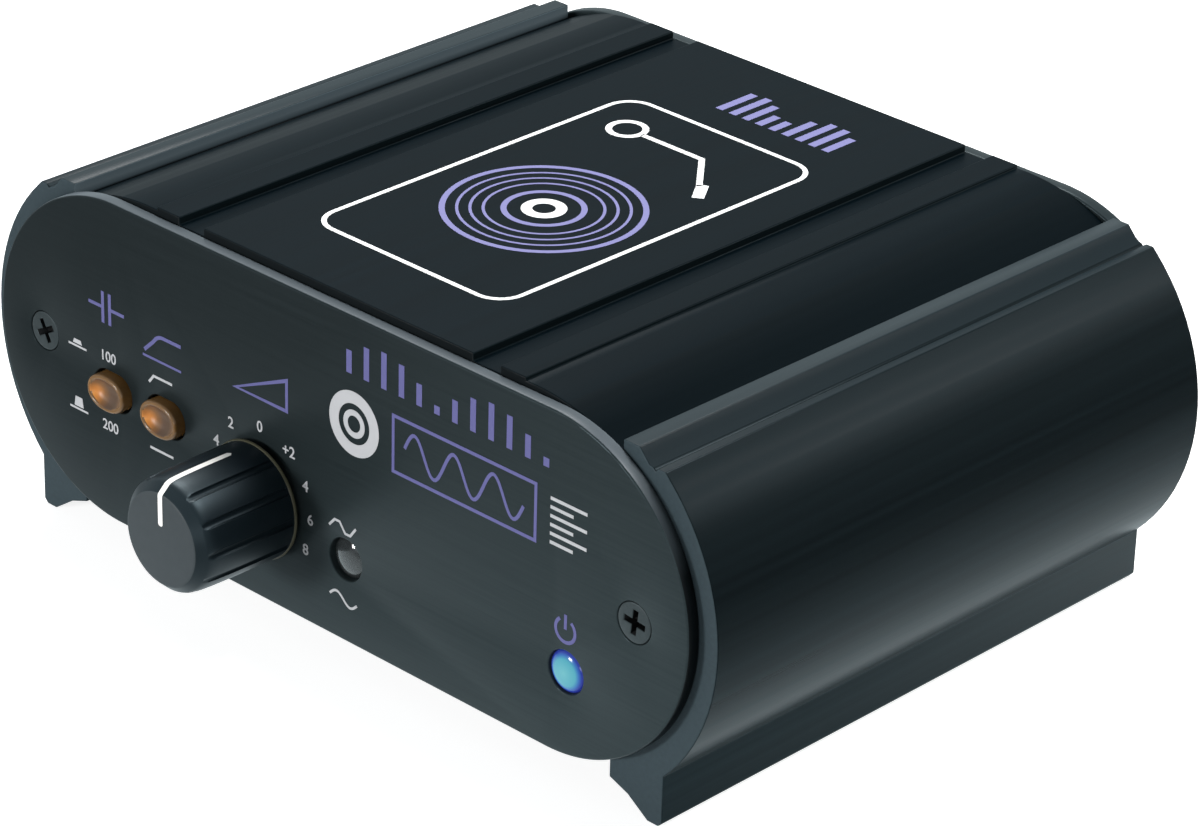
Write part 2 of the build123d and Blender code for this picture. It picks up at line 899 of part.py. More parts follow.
def socket_pins():
    """Solder pins from the centre contacts down to the board."""
    y = socket_pin_y()
    pins = []
    for x in all_socket_x():
        pin = post(x, y, socket_pin_radius, tail_z, socket_z)
        pins.append(pin + rod(x, socket_z - socket_pin_radius, socket_pin_radius, y, contact_back_y()))
    return group(pins)


def socket_block_screws():
    """Pan-head screws between the two sockets of each block."""
    screws = []
    for pair in socket_x.values():
        middle_x = sum(pair) / 2
        screw = rod(middle_x, socket_z, screw_radius, rear_y - block_screw_length, rear_y)
        screw += rod(middle_x, socket_z, block_screw_head, rear_y, rear_y + block_screw_head_height)
        for size in ((cross_length, cross_width), (cross_width, cross_length)):
            arm = Pos(middle_x, socket_z) * Rectangle(*size)
            top_y = rear_y + block_screw_head_height
            screw -= prism(arm, top_y - cross_depth, top_y)
        screws.append(screw)
    return group(screws)


# ---------------------------------------------------------------- power inlet


def inlet_tag_places():
    """Places (x, y) of the inlet's three tags."""
    back_y = rear_inner_y - inlet_depth
    side_x = inlet_x + inlet_width / 2 - inlet_tag_width
    return [
        (inlet_x, back_y + inlet_tag_width),
        (inlet_x, back_y + inlet_depth / 2),
        (side_x, back_y + inlet_depth / 3),
    ]


def power_inlet_body():
    """Plastic body of the barrel inlet."""
    half = inlet_width / 2
    nose_y = rear_y + inlet_nose_reach
    body = block(
        (inlet_x - half, inlet_x + half),
        (rear_inner_y - inlet_depth, rear_inner_y),
        (board_top_z, inlet_z + inlet_top),
    )
    body += rod(inlet_x, inlet_z, inlet_nose_radius, rear_inner_y, nose_y)
    body -= rod(inlet_x, inlet_z, inlet_bore_radius, nose_y - inlet_bore_depth, nose_y)
    return body - rod(inlet_x, inlet_z, inlet_pin_radius, rear_inner_y - inlet_depth, nose_y)


def power_inlet_pin():
    """Centre pin of the inlet."""
    tip_y = rear_y + inlet_nose_reach - inlet_pin_setback
    return rod(inlet_x, inlet_z, inlet_pin_radius, rear_inner_y - inlet_depth, tip_y)


def power_inlet_tags():
    """Flat tags under the inlet, through the board."""
    half_width = inlet_tag_width / 2
    half_thickness = inlet_tag_thickness / 2
    return group(
        block(
            (x - half_width, x + half_width),
            (y - half_thickness, y + half_thickness),
            (tail_z, board_top_z),
        )
        for x, y in inlet_tag_places()
    )


# ---------------------------------------------------------------- ground terminal


def ground_stud():
    """Threaded stud with its head inside the case."""
    head_y = rear_inner_y - lug_thickness
    stud = rod(ground_x, socket_z, stud_radius, head_y - stud_head_height, rear_y + stud_reach)
    return stud + rod(ground_x, socket_z, stud_head_radius, head_y - stud_head_height, head_y)


def ground_lug():
    """Solder lug under the stud's head."""
    lug = Circle(lug_radius) + Pos(0, -(lug_tail_length + stud_radius) / 2) * Rectangle(
        lug_tail_width, lug_tail_length + stud_radius
    )
    lug -= Circle(stud_radius + stud_hole_gap)
    return prism(Pos(ground_x, socket_z) * lug, rear_inner_y - lug_thickness, rear_inner_y)


def ground_wire_place():
    """Place where the ground wire meets the board."""
    return ground_x, rear_inner_y - lug_thickness - 6 * ground_wire_radius


def ground_wire():
    """Short wire from the lug down to the board."""
    x, y = ground_wire_place()
    level_z = socket_z - stud_radius - lug_tail_length + 2 * ground_wire_radius
    start_y = rear_inner_y - lug_thickness
    points = [(x, start_y, level_z), (x, y, level_z), (x, y, tail_z)]
    return wire(points, ground_wire_radius, 2 * ground_wire_radius)


def stud_nut():
    """Hex nut that clamps the stud to the rear plate."""
    nut = prism(Pos(ground_x, socket_z) * hexagon(stud_nut_across_flats), rear_y, stud_nut_y)
    return nut - rod(ground_x, socket_z, stud_radius + thread_gap, rear_y, stud_nut_y)


def ground_washer():
    """Washer that the thumb nut presses on the ground wire's spade."""
    washer = rod(ground_x, socket_z, ground_washer_radius, stud_nut_y, ground_washer_y)
    return washer - rod(ground_x, socket_z, stud_radius + shaft_gap, stud_nut_y, ground_washer_y)


def ground_thumb_nut():
    """Knurled nut turned by hand."""
    nut = rod(ground_x, socket_z, thumb_nut_radius, ground_washer_y, thumb_nut_y)
    nut -= rod(ground_x, socket_z, stud_radius + shaft_gap, ground_washer_y, thumb_nut_y)
    for index in range(thumb_nut_teeth):
        angle = radians(index * 360 / thumb_nut_teeth)
        x = ground_x + thumb_nut_radius * cos(angle)
        z = socket_z + thumb_nut_radius * sin(angle)
        nut -= rod(x, z, tooth_radius, ground_washer_y, thumb_nut_y)
    return nut


# ---------------------------------------------------------------- parts on the main board


def chips():
    """Dual in-line amplifier chips."""
    width, length, height = chip_size
    low_z = board_top_z + chip_standoff
    y = row_y[1]
    return group(
        block(
            (x - width / 2, x + width / 2),
            (y - length / 2, y + length / 2),
            (low_z, low_z + height),
        )
        for x in cells(chip_count, signal_zone)
    )


def chip_leg_places():
    """Places (x, y) of the chips' legs, which stand against the chips' sides."""
    thickness = chip_leg_size[0]
    return [
        (x + side * (chip_size[0] + thickness) / 2, row_y[1] + step * chip_leg_pitch)
        for x in cells(chip_count, signal_zone)
        for side in (-1, 1)
        for step in (-1.5, -0.5, 0.5, 1.5)
    ]


def chip_legs():
    """Flat legs of the chips."""
    half_thickness, half_width = (value / 2 for value in chip_leg_size)
    high_z = board_top_z + chip_standoff + chip_size[2] / 2
    return group(
        block((x - half_thickness, x + half_thickness), (y - half_width, y + half_width), (tail_z, high_z))
        for x, y in chip_leg_places()
    )


def small_electrolytics():
    """Row of small electrolytic capacitors standing on the board."""
    high_z = board_top_z + small_can_height
    xs = cells(small_can_count, signal_zone)
    return group(post(x, row_y[2], small_can_radius, board_top_z, high_z) for x in xs)


def filter_electrolytics():
    """The two large electrolytic capacitors of the supply."""
    high_z = board_top_z + filter_can_height
    xs = cells(filter_can_count, supply_zone)
    return group(post(x, row_y[1], filter_can_radius, board_top_z, high_z) for x in xs)


def film_capacitors():
    """Row of box film capacitors."""
    width, depth, height = film_size
    y = row_y[3]
    return group(
        block(
            (x - width / 2, x + width / 2),
            (y - depth / 2, y + depth / 2),
            (board_top_z, board_top_z + height),
        )
        for x in cells(film_count, signal_zone)
    )


def axial_bodies(xs, y, radius, length):
    """Row of axial parts lying along Y just above the board."""
    z = board_top_z + part_seat + radius
    return group(rod(x, z, radius, y - length / 2, y + length / 2) for x in xs)


def resistors():
    """Row of resistors on the signal side."""
    return axial_bodies(cells(resistor_count, signal_zone), row_y[0], resistor_radius, resistor_length)


def rectifier_diodes():
    """Row of diodes on the supply side."""
    return axial_bodies(cells(diode_count, supply_zone), row_y[2], diode_radius, diode_length)


def axial_lead_places():
    """Places (x, y, start y, height) of all leads of the axial parts."""
    places = []
    for xs, y, radius, length in (
        (cells(resistor_count, signal_zone), row_y[0], resistor_radius, resistor_length),
        (cells(diode_count, supply_zone), row_y[2], diode_radius, diode_length),
    ):
        z = board_top_z + part_seat + radius
        for x in xs:
            for side in (-1, 1):
                start_y = y + side * length / 2
                places.append((x, start_y + side * lead_run, start_y, z))
    return places


def axial_leads():
    """Bent leads of the resistors and diodes."""
    return group(
        wire([(x, start_y, z), (x, y, z), (x, y, tail_z)], lead_radius, lead_bend)
        for x, y, start_y, z in axial_lead_places()
    )


def voltage_regulators():
    """Small regulators: round backs with a flat front."""
    low_z = board_top_z + regulator_standoff
    y = row_y[0]
    bodies = []
    for x in cells(regulator_count, supply_zone):
        body = post(x, y, regulator_radius, low_z, low_z + regulator_height)
        cut = block(
            (x - 2 * regulator_radius, x + 2 * regulator_radius),
            (y - 2 * regulator_radius, y - regulator_flat),
            (low_z, low_z + regulator_height),
        )
        bodies.append(body - cut)
    return group(bodies)


def regulator_leg_places():
    """Places (x, y) of the regulators' legs."""
    xs = cells(regulator_count, supply_zone)
    return [(x + step * regulator_leg_pitch, row_y[0]) for x in xs for step in (-1, 0, 1)]


def regulator_legs():
    """Legs under the regulators."""
    high_z = board_top_z + regulator_standoff
    return group(post(x, y, regulator_leg_radius, tail_z, high_z) for x, y in regulator_leg_places())


def main_board():
    """Circuit board in the case's slots, drilled for every pin that passes through it."""
    board = block(
        (-board_half_width, board_half_width),
        (board_front_y, board_rear_y),
        (board_bottom_z, board_top_z),
    )
    round_pins = [(x, y, pot_pin_radius) for x, y in pot_pin_places()]
    header_y = switch_board_back_y + header_side / 2
    round_pins += [(x, header_y, header_pin_radius) for x in header_pin_places()]
    for x in led_x.values():
        round_pins += [(lead_x, y, led_lead_radius) for lead_x, y in led_lead_places(x)]
    round_pins += [(x, socket_pin_y(), socket_pin_radius) for x in all_socket_x()]
    round_pins += [(*ground_wire_place(), ground_wire_radius)]
    round_pins += [(x, y, lead_radius) for x, y, _, _ in axial_lead_places()]
    round_pins += [(x, y, regulator_leg_radius) for x, y in regulator_leg_places()]
    round_pins += [(x, y, max(chip_leg_size) / 2 + pin_hole_gap) for x, y in chip_leg_places()]
    for x, y, radius in round_pins:
        board -= post(x, y, radius + pin_hole_gap, board_bottom_z, board_top_z)
    half_width = inlet_tag_width / 2 + pin_hole_gap
    half_thickness = inlet_tag_thickness / 2 + pin_hole_gap
    for x, y in inlet_tag_places():
        board -= block(
            (x - half_width, x + half_width),
            (y - half_thickness, y + half_thickness),
            (board_bottom_z, board_top_z),
        )
    return board


# ---------------------------------------------------------------- all pieces

pieces = {
    "extruded_case": extruded_case(),
    "front_plate": front_plate(),
    "rear_plate": rear_plate(),
    "front_plate_screws": plate_screws(front_y, 1),
    "rear_plate_screws": plate_screws(rear_y, -1),
    "main_board": main_board(),
    "gain_pot_housing": gain_pot_housing(),
    "gain_pot_bush": gain_pot_bush(),
    "gain_pot_shaft": gain_pot_shaft(),
    "gain_pot_wiper": gain_pot_wiper(),
    "gain_pot_washer": gain_pot_washer(),
    "gain_pot_nut": gain_pot_nut(),
    "gain_pot_pins": gain_pot_pins(),
    "gain_knob": gain_knob(),
    "input_cap_button": push_button(button_x[0]),
    "filter_button": push_button(button_x[1]),
    "input_cap_plunger": switch_plunger(button_x[0]),
    "filter_plunger": switch_plunger(button_x[1]),
    "input_cap_switch": switch_body(button_x[0]),
    "filter_switch": switch_body(button_x[1]),
    "input_cap_spring": switch_spring(button_x[0]),
    "filter_spring": switch_spring(button_x[1]),
    "switch_pins": switch_pins(),
    "switch_board": switch_board(),
    "header_strip": header_strip(),
    "header_pins": group(header_pin(x) for x in header_pin_places()),
    "clip_led": led(led_x["clip_led"]),
    "power_led": led(led_x["power_led"]),
    "clip_led_leads": led_leads(led_x["clip_led"]),
    "power_led_leads": led_leads(led_x["power_led"]),
    "input_socket_block": socket_block(socket_x["input_socket_block"]),
    "output_socket_block": socket_block(socket_x["output_socket_block"]),
    "socket_shells": socket_shells(),
    "left_socket_insulators": socket_insulators(0),
    "right_socket_insulators": socket_insulators(1),
    "socket_contacts": socket_contacts(),
    "socket_pins": socket_pins(),
    "socket_block_screws": socket_block_screws(),
    "power_inlet_body": power_inlet_body(),
    "power_inlet_pin": power_inlet_pin(),
    "power_inlet_tags": power_inlet_tags(),
    "ground_stud": ground_stud(),
    "ground_stud_nut": stud_nut(),
    "ground_lug": ground_lug(),
    "ground_wire": ground_wire(),
    "ground_washer": ground_washer(),
    "ground_thumb_nut": ground_thumb_nut(),
    "amplifier_chips": chips(),
    "chip_legs": chip_legs(),
    "small_electrolytics": small_electrolytics(),
    "filter_electrolytics": filter_electrolytics(),
    "film_capacitors": film_capacitors(),
    "resistors": resistors(),
    "rectifier_diodes": rectifier_diodes(),
    "axial_leads": axial_leads(),
    "voltage_regulators": voltage_regulators(),
    "regulator_legs": regulator_legs(),
}

os.makedirs("parts", exist_ok=True)
for name, piece in pieces.items():
    export_step(piece, f"parts/{name}.step")
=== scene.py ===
"""Desk phono preamp in a black anodised extrusion: finishes, printed panel, light and camera.

Shapes are drawn in millimetres in the object's own frame and scaled to metres as they are finished.
"""

from math import cos, pi, radians, sin, sqrt

import bmesh
import bpy
from mathutils import Matrix, Vector


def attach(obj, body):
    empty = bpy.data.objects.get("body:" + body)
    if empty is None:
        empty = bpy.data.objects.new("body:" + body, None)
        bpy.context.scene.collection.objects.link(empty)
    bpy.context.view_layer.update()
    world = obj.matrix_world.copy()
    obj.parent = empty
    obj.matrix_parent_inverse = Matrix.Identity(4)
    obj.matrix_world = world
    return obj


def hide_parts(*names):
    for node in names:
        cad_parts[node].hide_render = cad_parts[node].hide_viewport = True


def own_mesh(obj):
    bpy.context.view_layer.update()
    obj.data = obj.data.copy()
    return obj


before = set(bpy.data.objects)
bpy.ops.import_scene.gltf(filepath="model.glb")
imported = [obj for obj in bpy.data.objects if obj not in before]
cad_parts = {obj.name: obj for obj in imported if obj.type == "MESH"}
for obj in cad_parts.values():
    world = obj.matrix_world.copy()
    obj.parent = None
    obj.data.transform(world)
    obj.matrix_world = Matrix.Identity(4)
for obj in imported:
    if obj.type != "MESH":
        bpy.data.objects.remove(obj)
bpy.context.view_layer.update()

MM = 0.001
FRONT_Y = -39.6
REAR_Y = 45.0
TOP_Z = 46.05
UNDERSIDE_Z = 3.9
PLATE_X, PLATE_RADIUS, PLATE_THICKNESS, PLATE_EASE = 35.0, 20.5, 1.8, 0.3
PLATE_RIM_RADIUS = 20.2
UNDERSIDE_RADIUS = 20.65
UNDERSIDE_CUTS = (36.6, 38.2, 39.8, 41.4)
SHOULDER_X, SHOULDER_Z, SHOULDER_RADIUS = 30.4, 23.65, 22.0
SHOULDER_FROM, SHOULDER_TO, SHOULDER_LIFT = 29.4, 43.75, 1.03
SCREW_X, SCREW_Z = 47.7, 24.55
HEAD_RADIUS, HEAD_CLEARANCE, THREAD_RADIUS = 2.42, 0.05, 1.5
KNOB_X, KNOB_Z = -10.4, 17.05
BUTTON_X, BUTTON_Z, BUTTON_TRAVEL = (-35.7, -26.5), 21.05, 1.5
CLIP_LED_X, POWER_LED_X, LED_Z = 3.6, 37.95, 14.5
SOCKET_X, SOCKET_Z, BLOCK_SCREW_X = (-37.0, -22.0, 6.0, 21.0), 22.0, (-29.5, 13.5)
INLET_X, INLET_Z, GROUND_X = 36.0, 17.05, -8.0
INK, NUMBER_WEIGHT = 0.03, 0.012
TOP_LOWERED = 0.8 * INK


# ---------------------------------------------------------------- shader tools


def linear(value):
    """One colour channel from 0-255 screen value to linear light."""
    value /= 255
    return value / 12.92 if value <= 0.04045 else ((value + 0.055) / 1.055) ** 2.4


def colour(red, green, blue):
    """Linear colour with full opacity."""
    return (linear(red), linear(green), linear(blue), 1.0)


def new_node(tree, kind, sockets=None, **settings):
    """Shader node with its settings made, and then some of its sockets filled."""
    made = tree.nodes.new("ShaderNode" + kind)
    for setting, value in settings.items():
        setattr(made, setting, value)
    for socket, value in (sockets or {}).items():
        made.inputs[socket].default_value = value
    return made


def wire(tree, *links):
    """Join nodes; each link names a node, its output, the next node and its input."""
    for source, output, target, socket in links:
        tree.links.new(source.outputs[output], target.inputs[socket])


def shader_of(mat):
    """Node tree of a finish, and its shader."""
    return mat.node_tree, mat.node_tree.nodes["Principled BSDF"]


def finish(name, tint, roughness, metallic=0.0, ior=1.45, **more):
    """A plain Principled finish; every number is set on the shader's own socket."""
    mat = bpy.data.materials.new(name)
    mat.use_nodes = True
    shader = shader_of(mat)[1]
    shader.inputs["Base Color"].default_value = colour(*tint)
    shader.inputs["Roughness"].default_value = roughness
    shader.inputs["Metallic"].default_value = metallic
    shader.inputs["IOR"].default_value = ior
    for socket, value in more.items():
        shader.inputs[socket.replace("_", " ")].default_value = value
    return mat


def two_tones(tree, light, dark):
    """Mix of two tints."""
    return new_node(tree, "Mix", {"A": colour(*dark), "B": colour(*light)}, data_type="RGBA")


def grain(mat, stretch, light, dark, rough_span, bump):
    """Fine lines along one direction, as from extruding or brushing: tint, gloss and relief."""
    tree, shader = shader_of(mat)
    place = new_node(tree, "TexCoord")
    mapping = new_node(tree, "Mapping", {"Scale": stretch})
    noise = new_node(tree, "TexNoise", {"Scale": 1.0, "Detail": 4.0})
    tone = two_tones(tree, light, dark)
    rough = new_node(tree, "MapRange", {"To Min": rough_span[0], "To Max": rough_span[1]})
    relief = new_node(tree, "Bump", {"Strength": bump, "Distance": GRAIN_HEIGHT})
    wire(
        tree,
        (place, "Object", mapping, "Vector"),
        (mapping, "Vector", noise, "Vector"),
        (noise, "Fac", tone, "Factor"),
        (noise, "Fac", rough, "Value"),
        (noise, "Fac", relief, "Height"),
        (tone, "Result", shader, "Base Color"),
        (rough, "Result", shader, "Roughness"),
        (relief, "Normal", shader, "Normal"),
    )
    return mat


def speckle(mat, scale, light, dark):
    """Faint mottling of a moulded or coated surface."""
    tree, shader = shader_of(mat)
    place = new_node(tree, "TexCoord")
    noise = new_node(tree, "TexNoise", {"Scale": scale, "Detail": 3.0})
    tone = two_tones(tree, light, dark)
    wire(
        tree,
        (place, "Object", noise, "Vector"),
        (noise, "Fac", tone, "Factor"),
        (tone, "Result", shader, "Base Color"),
    )
    return mat


def ramp_between(tree, length, low, high, stops):
    """Colour ramp along a length, between two places in millimetres."""
    spread = new_node(tree, "MapRange", {"From Min": low * MM, "From Max": high * MM})
    ramp = new_node(tree, "ValToRGB")
    elements = ramp.color_ramp.elements
    elements[0].position, elements[0].color = stops[0]
    elements[1].position, elements[1].color = stops[-1]
    for position, tint in stops[1:-1]:
        elements.new(position).color = tint
    tree.links.new(length, spread.inputs["Value"])
    wire(tree, (spread, "Result", ramp, "Fac"))
    return ramp.outputs["Color"]


def tinted(rows):
    """Ramp stops from rows of position, red, green and blue."""
    return [(position, colour(*channels)) for position, *channels in rows]


def by_height(mat, low, high, rows):
    """Colour that changes with the height above the floor, between two heights in millimetres."""
    tree, shader = shader_of(mat)
    place = new_node(tree, "TexCoord")
    split = new_node(tree, "SeparateXYZ")
    wire(tree, (place, "Object", split, "Vector"))
    tint = ramp_between(tree, split.outputs["Z"], low, high, tinted(rows))
    tree.links.new(tint, shader.inputs["Base Color"])
    return mat


def shaded_along(mat, direction, low, high, shares):
    """Painted shade: darken a finish by a ramp along one direction, between two places in
    millimetres.
    """
    tree, shader = shader_of(mat)
    tone = shader.inputs["Base Color"].links[0].from_socket
    place = new_node(tree, "TexCoord")
    along = new_node(tree, "VectorMath", {1: direction}, operation="DOT_PRODUCT")
    wire(tree, (place, "Object", along, 0))
    greys = [(position, (share, share, share, 1.0)) for position, share in shares]
    shade = ramp_between(tree, along.outputs["Value"], low, high, greys)
    darker = new_node(tree, "Mix", {"Factor": 1.0}, data_type="RGBA", blend_type="MULTIPLY")
    tree.links.new(tone, darker.inputs["A"])
    tree.links.new(shade, darker.inputs["B"])
    wire(tree, (darker, "Result", shader, "Base Color"))
    return mat


def around(mat, x, z, reach, rows, target="Base Color"):
    """Colour that changes with the distance from a line along Y, up to a reach in millimetres."""
    tree, shader = shader_of(mat)
    place = new_node(tree, "TexCoord")
    centre = new_node(tree, "Mapping", {"Location": (-x * MM, 0, -z * MM), "Scale": (1, 0, 1)})
    length = new_node(tree, "VectorMath", operation="LENGTH")
    wire(tree, (place, "Object", centre, "Vector"), (centre, "Vector", length, 0))
    tint = ramp_between(tree, length.outputs["Value"], 0.0, reach, tinted(rows))
    tree.links.new(tint, shader.inputs[target])
    return mat


# ---------------------------------------------------------------- finishes

GRAIN_HEIGHT = 0.00003
ALONG_Y = (900, 7, 900)
ALONG_X = (60, 3000, 3000)
UPWARDS = (0, 0, 1)
ACROSS_FRONT = (1, 0, -1.25)
BLUE_SHEEN = (0.7, 0.9, 1.0, 1.0)
MIRROR_TINT = (0.84, 0.96, 1.0, 1.0)

# Painted light on the flank: the anodising is darkened with height, so the low flank keeps a
# painted reflection and everything from the middle up carries painted shade.
case_anodised_painted_light = shaded_along(
    grain(
        finish("case_anodised_painted_light", (26, 38, 42), 0.3, ior=1.15, Specular_Tint=BLUE_SHEEN),
        ALONG_Y, (39, 55, 60), (12, 20, 23), (0.22, 0.4), 0.4,
    ),
    UPWARDS, 0.0, 46.0,
    [(0.0, 1.0), (0.15, 1.0), (0.23, 0.8), (0.4, 0.74), (0.57, 0.3), (0.75, 0.27), (1.0, 0.3)],
)
# Painted shade: the raised top and its strips take a darker, matt copy of the anodising.
case_top_painted_shade = grain(
    finish("top_matt_painted_shade", (3, 10, 13), 0.4, ior=1.09, Specular_Tint=BLUE_SHEEN),
    ALONG_Y, (6, 16, 21), (1, 5, 8), (0.34, 0.46), 0.3,
)
# Painted shade: the shoulders take a darker copy of the anodising.
case_shoulder_painted_shade = grain(
    finish("case_shoulder_painted_shade", (3, 9, 12), 0.32, ior=1.1, Specular_Tint=BLUE_SHEEN),
    ALONG_Y, (4, 11, 15), (2, 7, 10), (0.26, 0.4), 0.3,
)
# Painted highlight: the crests of the ridges take a lighter copy of the anodising.
crest_painted_highlight = grain(
    finish("ridge_crest_painted_highlight", (37, 45, 49), 0.3, ior=1.15),
    ALONG_Y, (41, 50, 54), (33, 41, 44), (0.26, 0.36), 0.3,
)
# Painted highlight: the ledges and the slopes beside the ridges take a lighter copy of the
# anodising.
case_ledge_painted_highlight = grain(
    finish("case_ledge_painted_highlight", (24, 33, 37), 0.34, ior=1.15),
    ALONG_Y, (27, 36, 40), (21, 30, 34), (0.3, 0.4), 0.3,
)
# Painted shadow and highlight: the inner walls of the ridges are near black at their foot and light
# above it.
ridge_wall_painted_light = by_height(
    finish("ridge_wall_painted_shadow_highlight", (40, 50, 55), 0.4, ior=1.12),
    42.1, 44.1,
    [
        (0.0, 4, 8, 10), (0.1, 6, 10, 13), (0.22, 68, 80, 86), (0.55, 90, 102, 108),
        (1.0, 74, 86, 92),
    ],
)
# The sawn ends are a lighter cut finish; near the top they carry painted shade, darkened steeply
# between 44.2 and 44.9 mm up.
case_cut_painted_shade = shaded_along(
    speckle(finish("case_end_cut_painted_shade", (52, 64, 69), 0.45, ior=1.15), 1800, (57, 69, 74), (48, 58, 63)),
    UPWARDS, 44.2, 44.9, [(0.0, 1.0), (1.0, 0.12)],
)
plate_anodised = grain(
    finish("plate_anodised", (31, 38, 40), 0.33, ior=1.21, Specular_Tint=BLUE_SHEEN),
    ALONG_X, (35, 43, 45), (27, 34, 36), (0.28, 0.38), 0.25,
)
# Painted shade across the front plate: darker towards the left and the top, lighter towards the
# lower right.
front_anodised_painted_shade = shaded_along(
    grain(
        finish("front_anodised_painted_shade", (41, 49, 51), 0.33, ior=1.21, Specular_Tint=BLUE_SHEEN),
        ALONG_X, (47, 56, 58), (36, 44, 46), (0.28, 0.38), 0.25,
    ),
    ACROSS_FRONT, -95.0, 25.0,
    [(0.0, 0.36), (0.37, 0.42), (0.53, 0.62), (0.9, 0.9), (1.0, 1.0)],
)
# Painted highlight and shade on the front plate's edge: bright along the top, near black down the
# sides, greyer at the foot.
plate_rim_painted_light = by_height(
    finish("rim_painted_highlight_and_shade", (60, 68, 72), 0.34, ior=1.2),
    0.0, 46.0,
    [
        (0.0, 50, 58, 62), (0.16, 30, 37, 40), (0.32, 6, 10, 12), (0.7, 8, 12, 14),
        (0.82, 50, 57, 61), (0.92, 88, 95, 100), (0.972, 74, 81, 86), (1.0, 50, 57, 61),
    ],
)
black_oxide = speckle(
    finish("black_oxide_steel", (52, 60, 62), 0.36, metallic=0.6), 2400, (58, 66, 68), (44, 51, 53)
)
# Painted shade: the cross recesses of the screws are near black.
recess_painted_shade = finish("recess_painted_shade", (8, 9, 10), 0.6, ior=1.2)
knob_gloss = speckle(
    finish("knob_gloss_black", (7, 13, 17), 0.42, ior=1.36, Specular_Tint=BLUE_SHEEN),
    900, (9, 15, 19), (5, 11, 15),
)
# Painted highlight: a light olive band round the knob's skirt, standing in for light caught on its
# edge.
knob_skirt_painted_highlight = finish("skirt_painted_highlight", (62, 60, 44), 0.32, ior=1.25)
knob_satin = speckle(
    finish("knob_satin_face", (59, 65, 68), 0.5, ior=1.2), 900, (62, 68, 71), (56, 62, 65)
)
pointer_white = finish("pointer_white", (240, 238, 234), 0.45)
amber = speckle(
    finish("amber_plastic", (110, 79, 42), 0.24, ior=1.35, Coat_Weight=0.15, Coat_Roughness=0.15),
    420, (120, 87, 47), (96, 68, 36),
)
# Where the painted glow in a button's hollow sits: aside and down from its middle, and its reach,
# in millimetres.
PAINTED_GLOW_ASIDE, PAINTED_GLOW_DOWN, PAINTED_GLOW_REACH = 2.3, 0.75, 5.2


def amber_dish_painted_glow(x):
    """Clear amber in the hollow of a button with painted light: a painted glow low on one side,
    darker in the middle, a faint painted highlight on the far side.
    """
    return around(
        finish("amber_dish_painted_glow", (128, 92, 66), 0.36, ior=1.3),
        x - PAINTED_GLOW_ASIDE, BUTTON_Z - PAINTED_GLOW_DOWN, PAINTED_GLOW_REACH,
        [
            (0.0, 222, 150, 74), (0.1, 196, 126, 60), (0.3, 120, 83, 48), (0.48, 84, 64, 50),
            (0.68, 80, 62, 48), (0.86, 112, 86, 62), (1.0, 84, 62, 38),
        ],
    )


ink_white = finish("white_ink", (172, 173, 176), 0.6)
ink_white_top = finish("white_ink_top", (232, 233, 232), 0.6)
ink_lavender = finish("lavender_ink", (83, 82, 134), 0.6)
ink_lavender_top = finish("lavender_ink_top", (106, 104, 154), 0.6)
moulded_black = speckle(
    finish("moulded_black", (28, 28, 30), 0.55), 700, (31, 31, 33), (24, 24, 26)
)
moulded_white = finish("moulded_white", (228, 226, 220), 0.35)
moulded_red = finish("moulded_red", (186, 24, 24), 0.35)
nickel = grain(
    finish("nickel_plate", (150, 148, 142), 0.24, metallic=1.0),
    (900, 900, 900), (160, 158, 152), (134, 132, 126), (0.18, 0.3), 0.1,
)
zinc = grain(
    finish("zinc_plate", (150, 152, 150), 0.34, metallic=1.0),
    (1200, 1200, 1200), (160, 162, 160), (136, 138, 136), (0.28, 0.42), 0.15,
)
tin = speckle(
    finish("tinned_wire", (172, 173, 172), 0.3, metallic=1.0),
    1500, (182, 182, 180), (156, 156, 156),
)
spring_steel = finish("spring_steel", (190, 190, 192), 0.28, metallic=1.0)
board_green = speckle(finish("board_green", (30, 92, 52), 0.32), 450, (34, 100, 56), (26, 82, 46))
wire_green = finish("wire_green", (46, 128, 58), 0.5)
sleeve_dark = finish("capacitor_sleeve", (28, 32, 58), 0.28)
film_red = speckle(finish("film_case_red", (150, 44, 34), 0.35), 500, (158, 48, 36), (138, 38, 30))
enamel_blue = finish("resistor_enamel", (120, 152, 176), 0.35)
diode_black = finish("diode_black", (26, 26, 27), 0.4)
chip_black = speckle(finish("chip_black", (34, 34, 35), 0.6), 1200, (38, 38, 39), (29, 29, 30))
smoky_clear = finish(
    "smoky_clear_lens", (84, 90, 92), 0.06, Transmission_Weight=0.75, Coat_Weight=0.4
)
lens_lit = around(
    finish("blue_lens_lit", (30, 50, 70), 0.12, ior=1.3, Emission_Strength=0.9),
    POWER_LED_X, LED_Z, 2.6,
    [
        (0.0, 112, 192, 196), (0.6, 84, 172, 186), (0.76, 48, 104, 180), (0.86, 30, 34, 150),
        (1.0, 18, 18, 90),
    ],
    "Emission Color",
)


# ---------------------------------------------------------------- shape tools, in millimetres


def grown(points, amount):
    """An anticlockwise closed outline moved outwards by an amount, corners kept sharp."""
    result = []
    count = len(points)
    for index, (x, z) in enumerate(points):
        x0, z0 = points[index - 1]
        x1, z1 = points[(index + 1) % count]
        before = Vector((z - z0, x0 - x)).normalized()
        after = Vector((z1 - z, x - x1)).normalized()
        middle = (before + after).normalized()
        reach = amount / max(middle.dot(after), 0.35)
        result.append((x + middle.x * reach, z + middle.y * reach))
    return result


def circle(x, z, radius, count=64):
    """Round outline."""
    angles = [2 * pi * (step + 0.5) / count for step in range(count)]
    return [(x + radius * cos(angle), z + radius * sin(angle)) for angle in angles]


def obround(arc_x, radius, z, count=144):
    """Two half circles joined by straight edges."""
    return [(x + (arc_x if x > 0 else -arc_x), height) for x, height in circle(0, z, radius, count)]


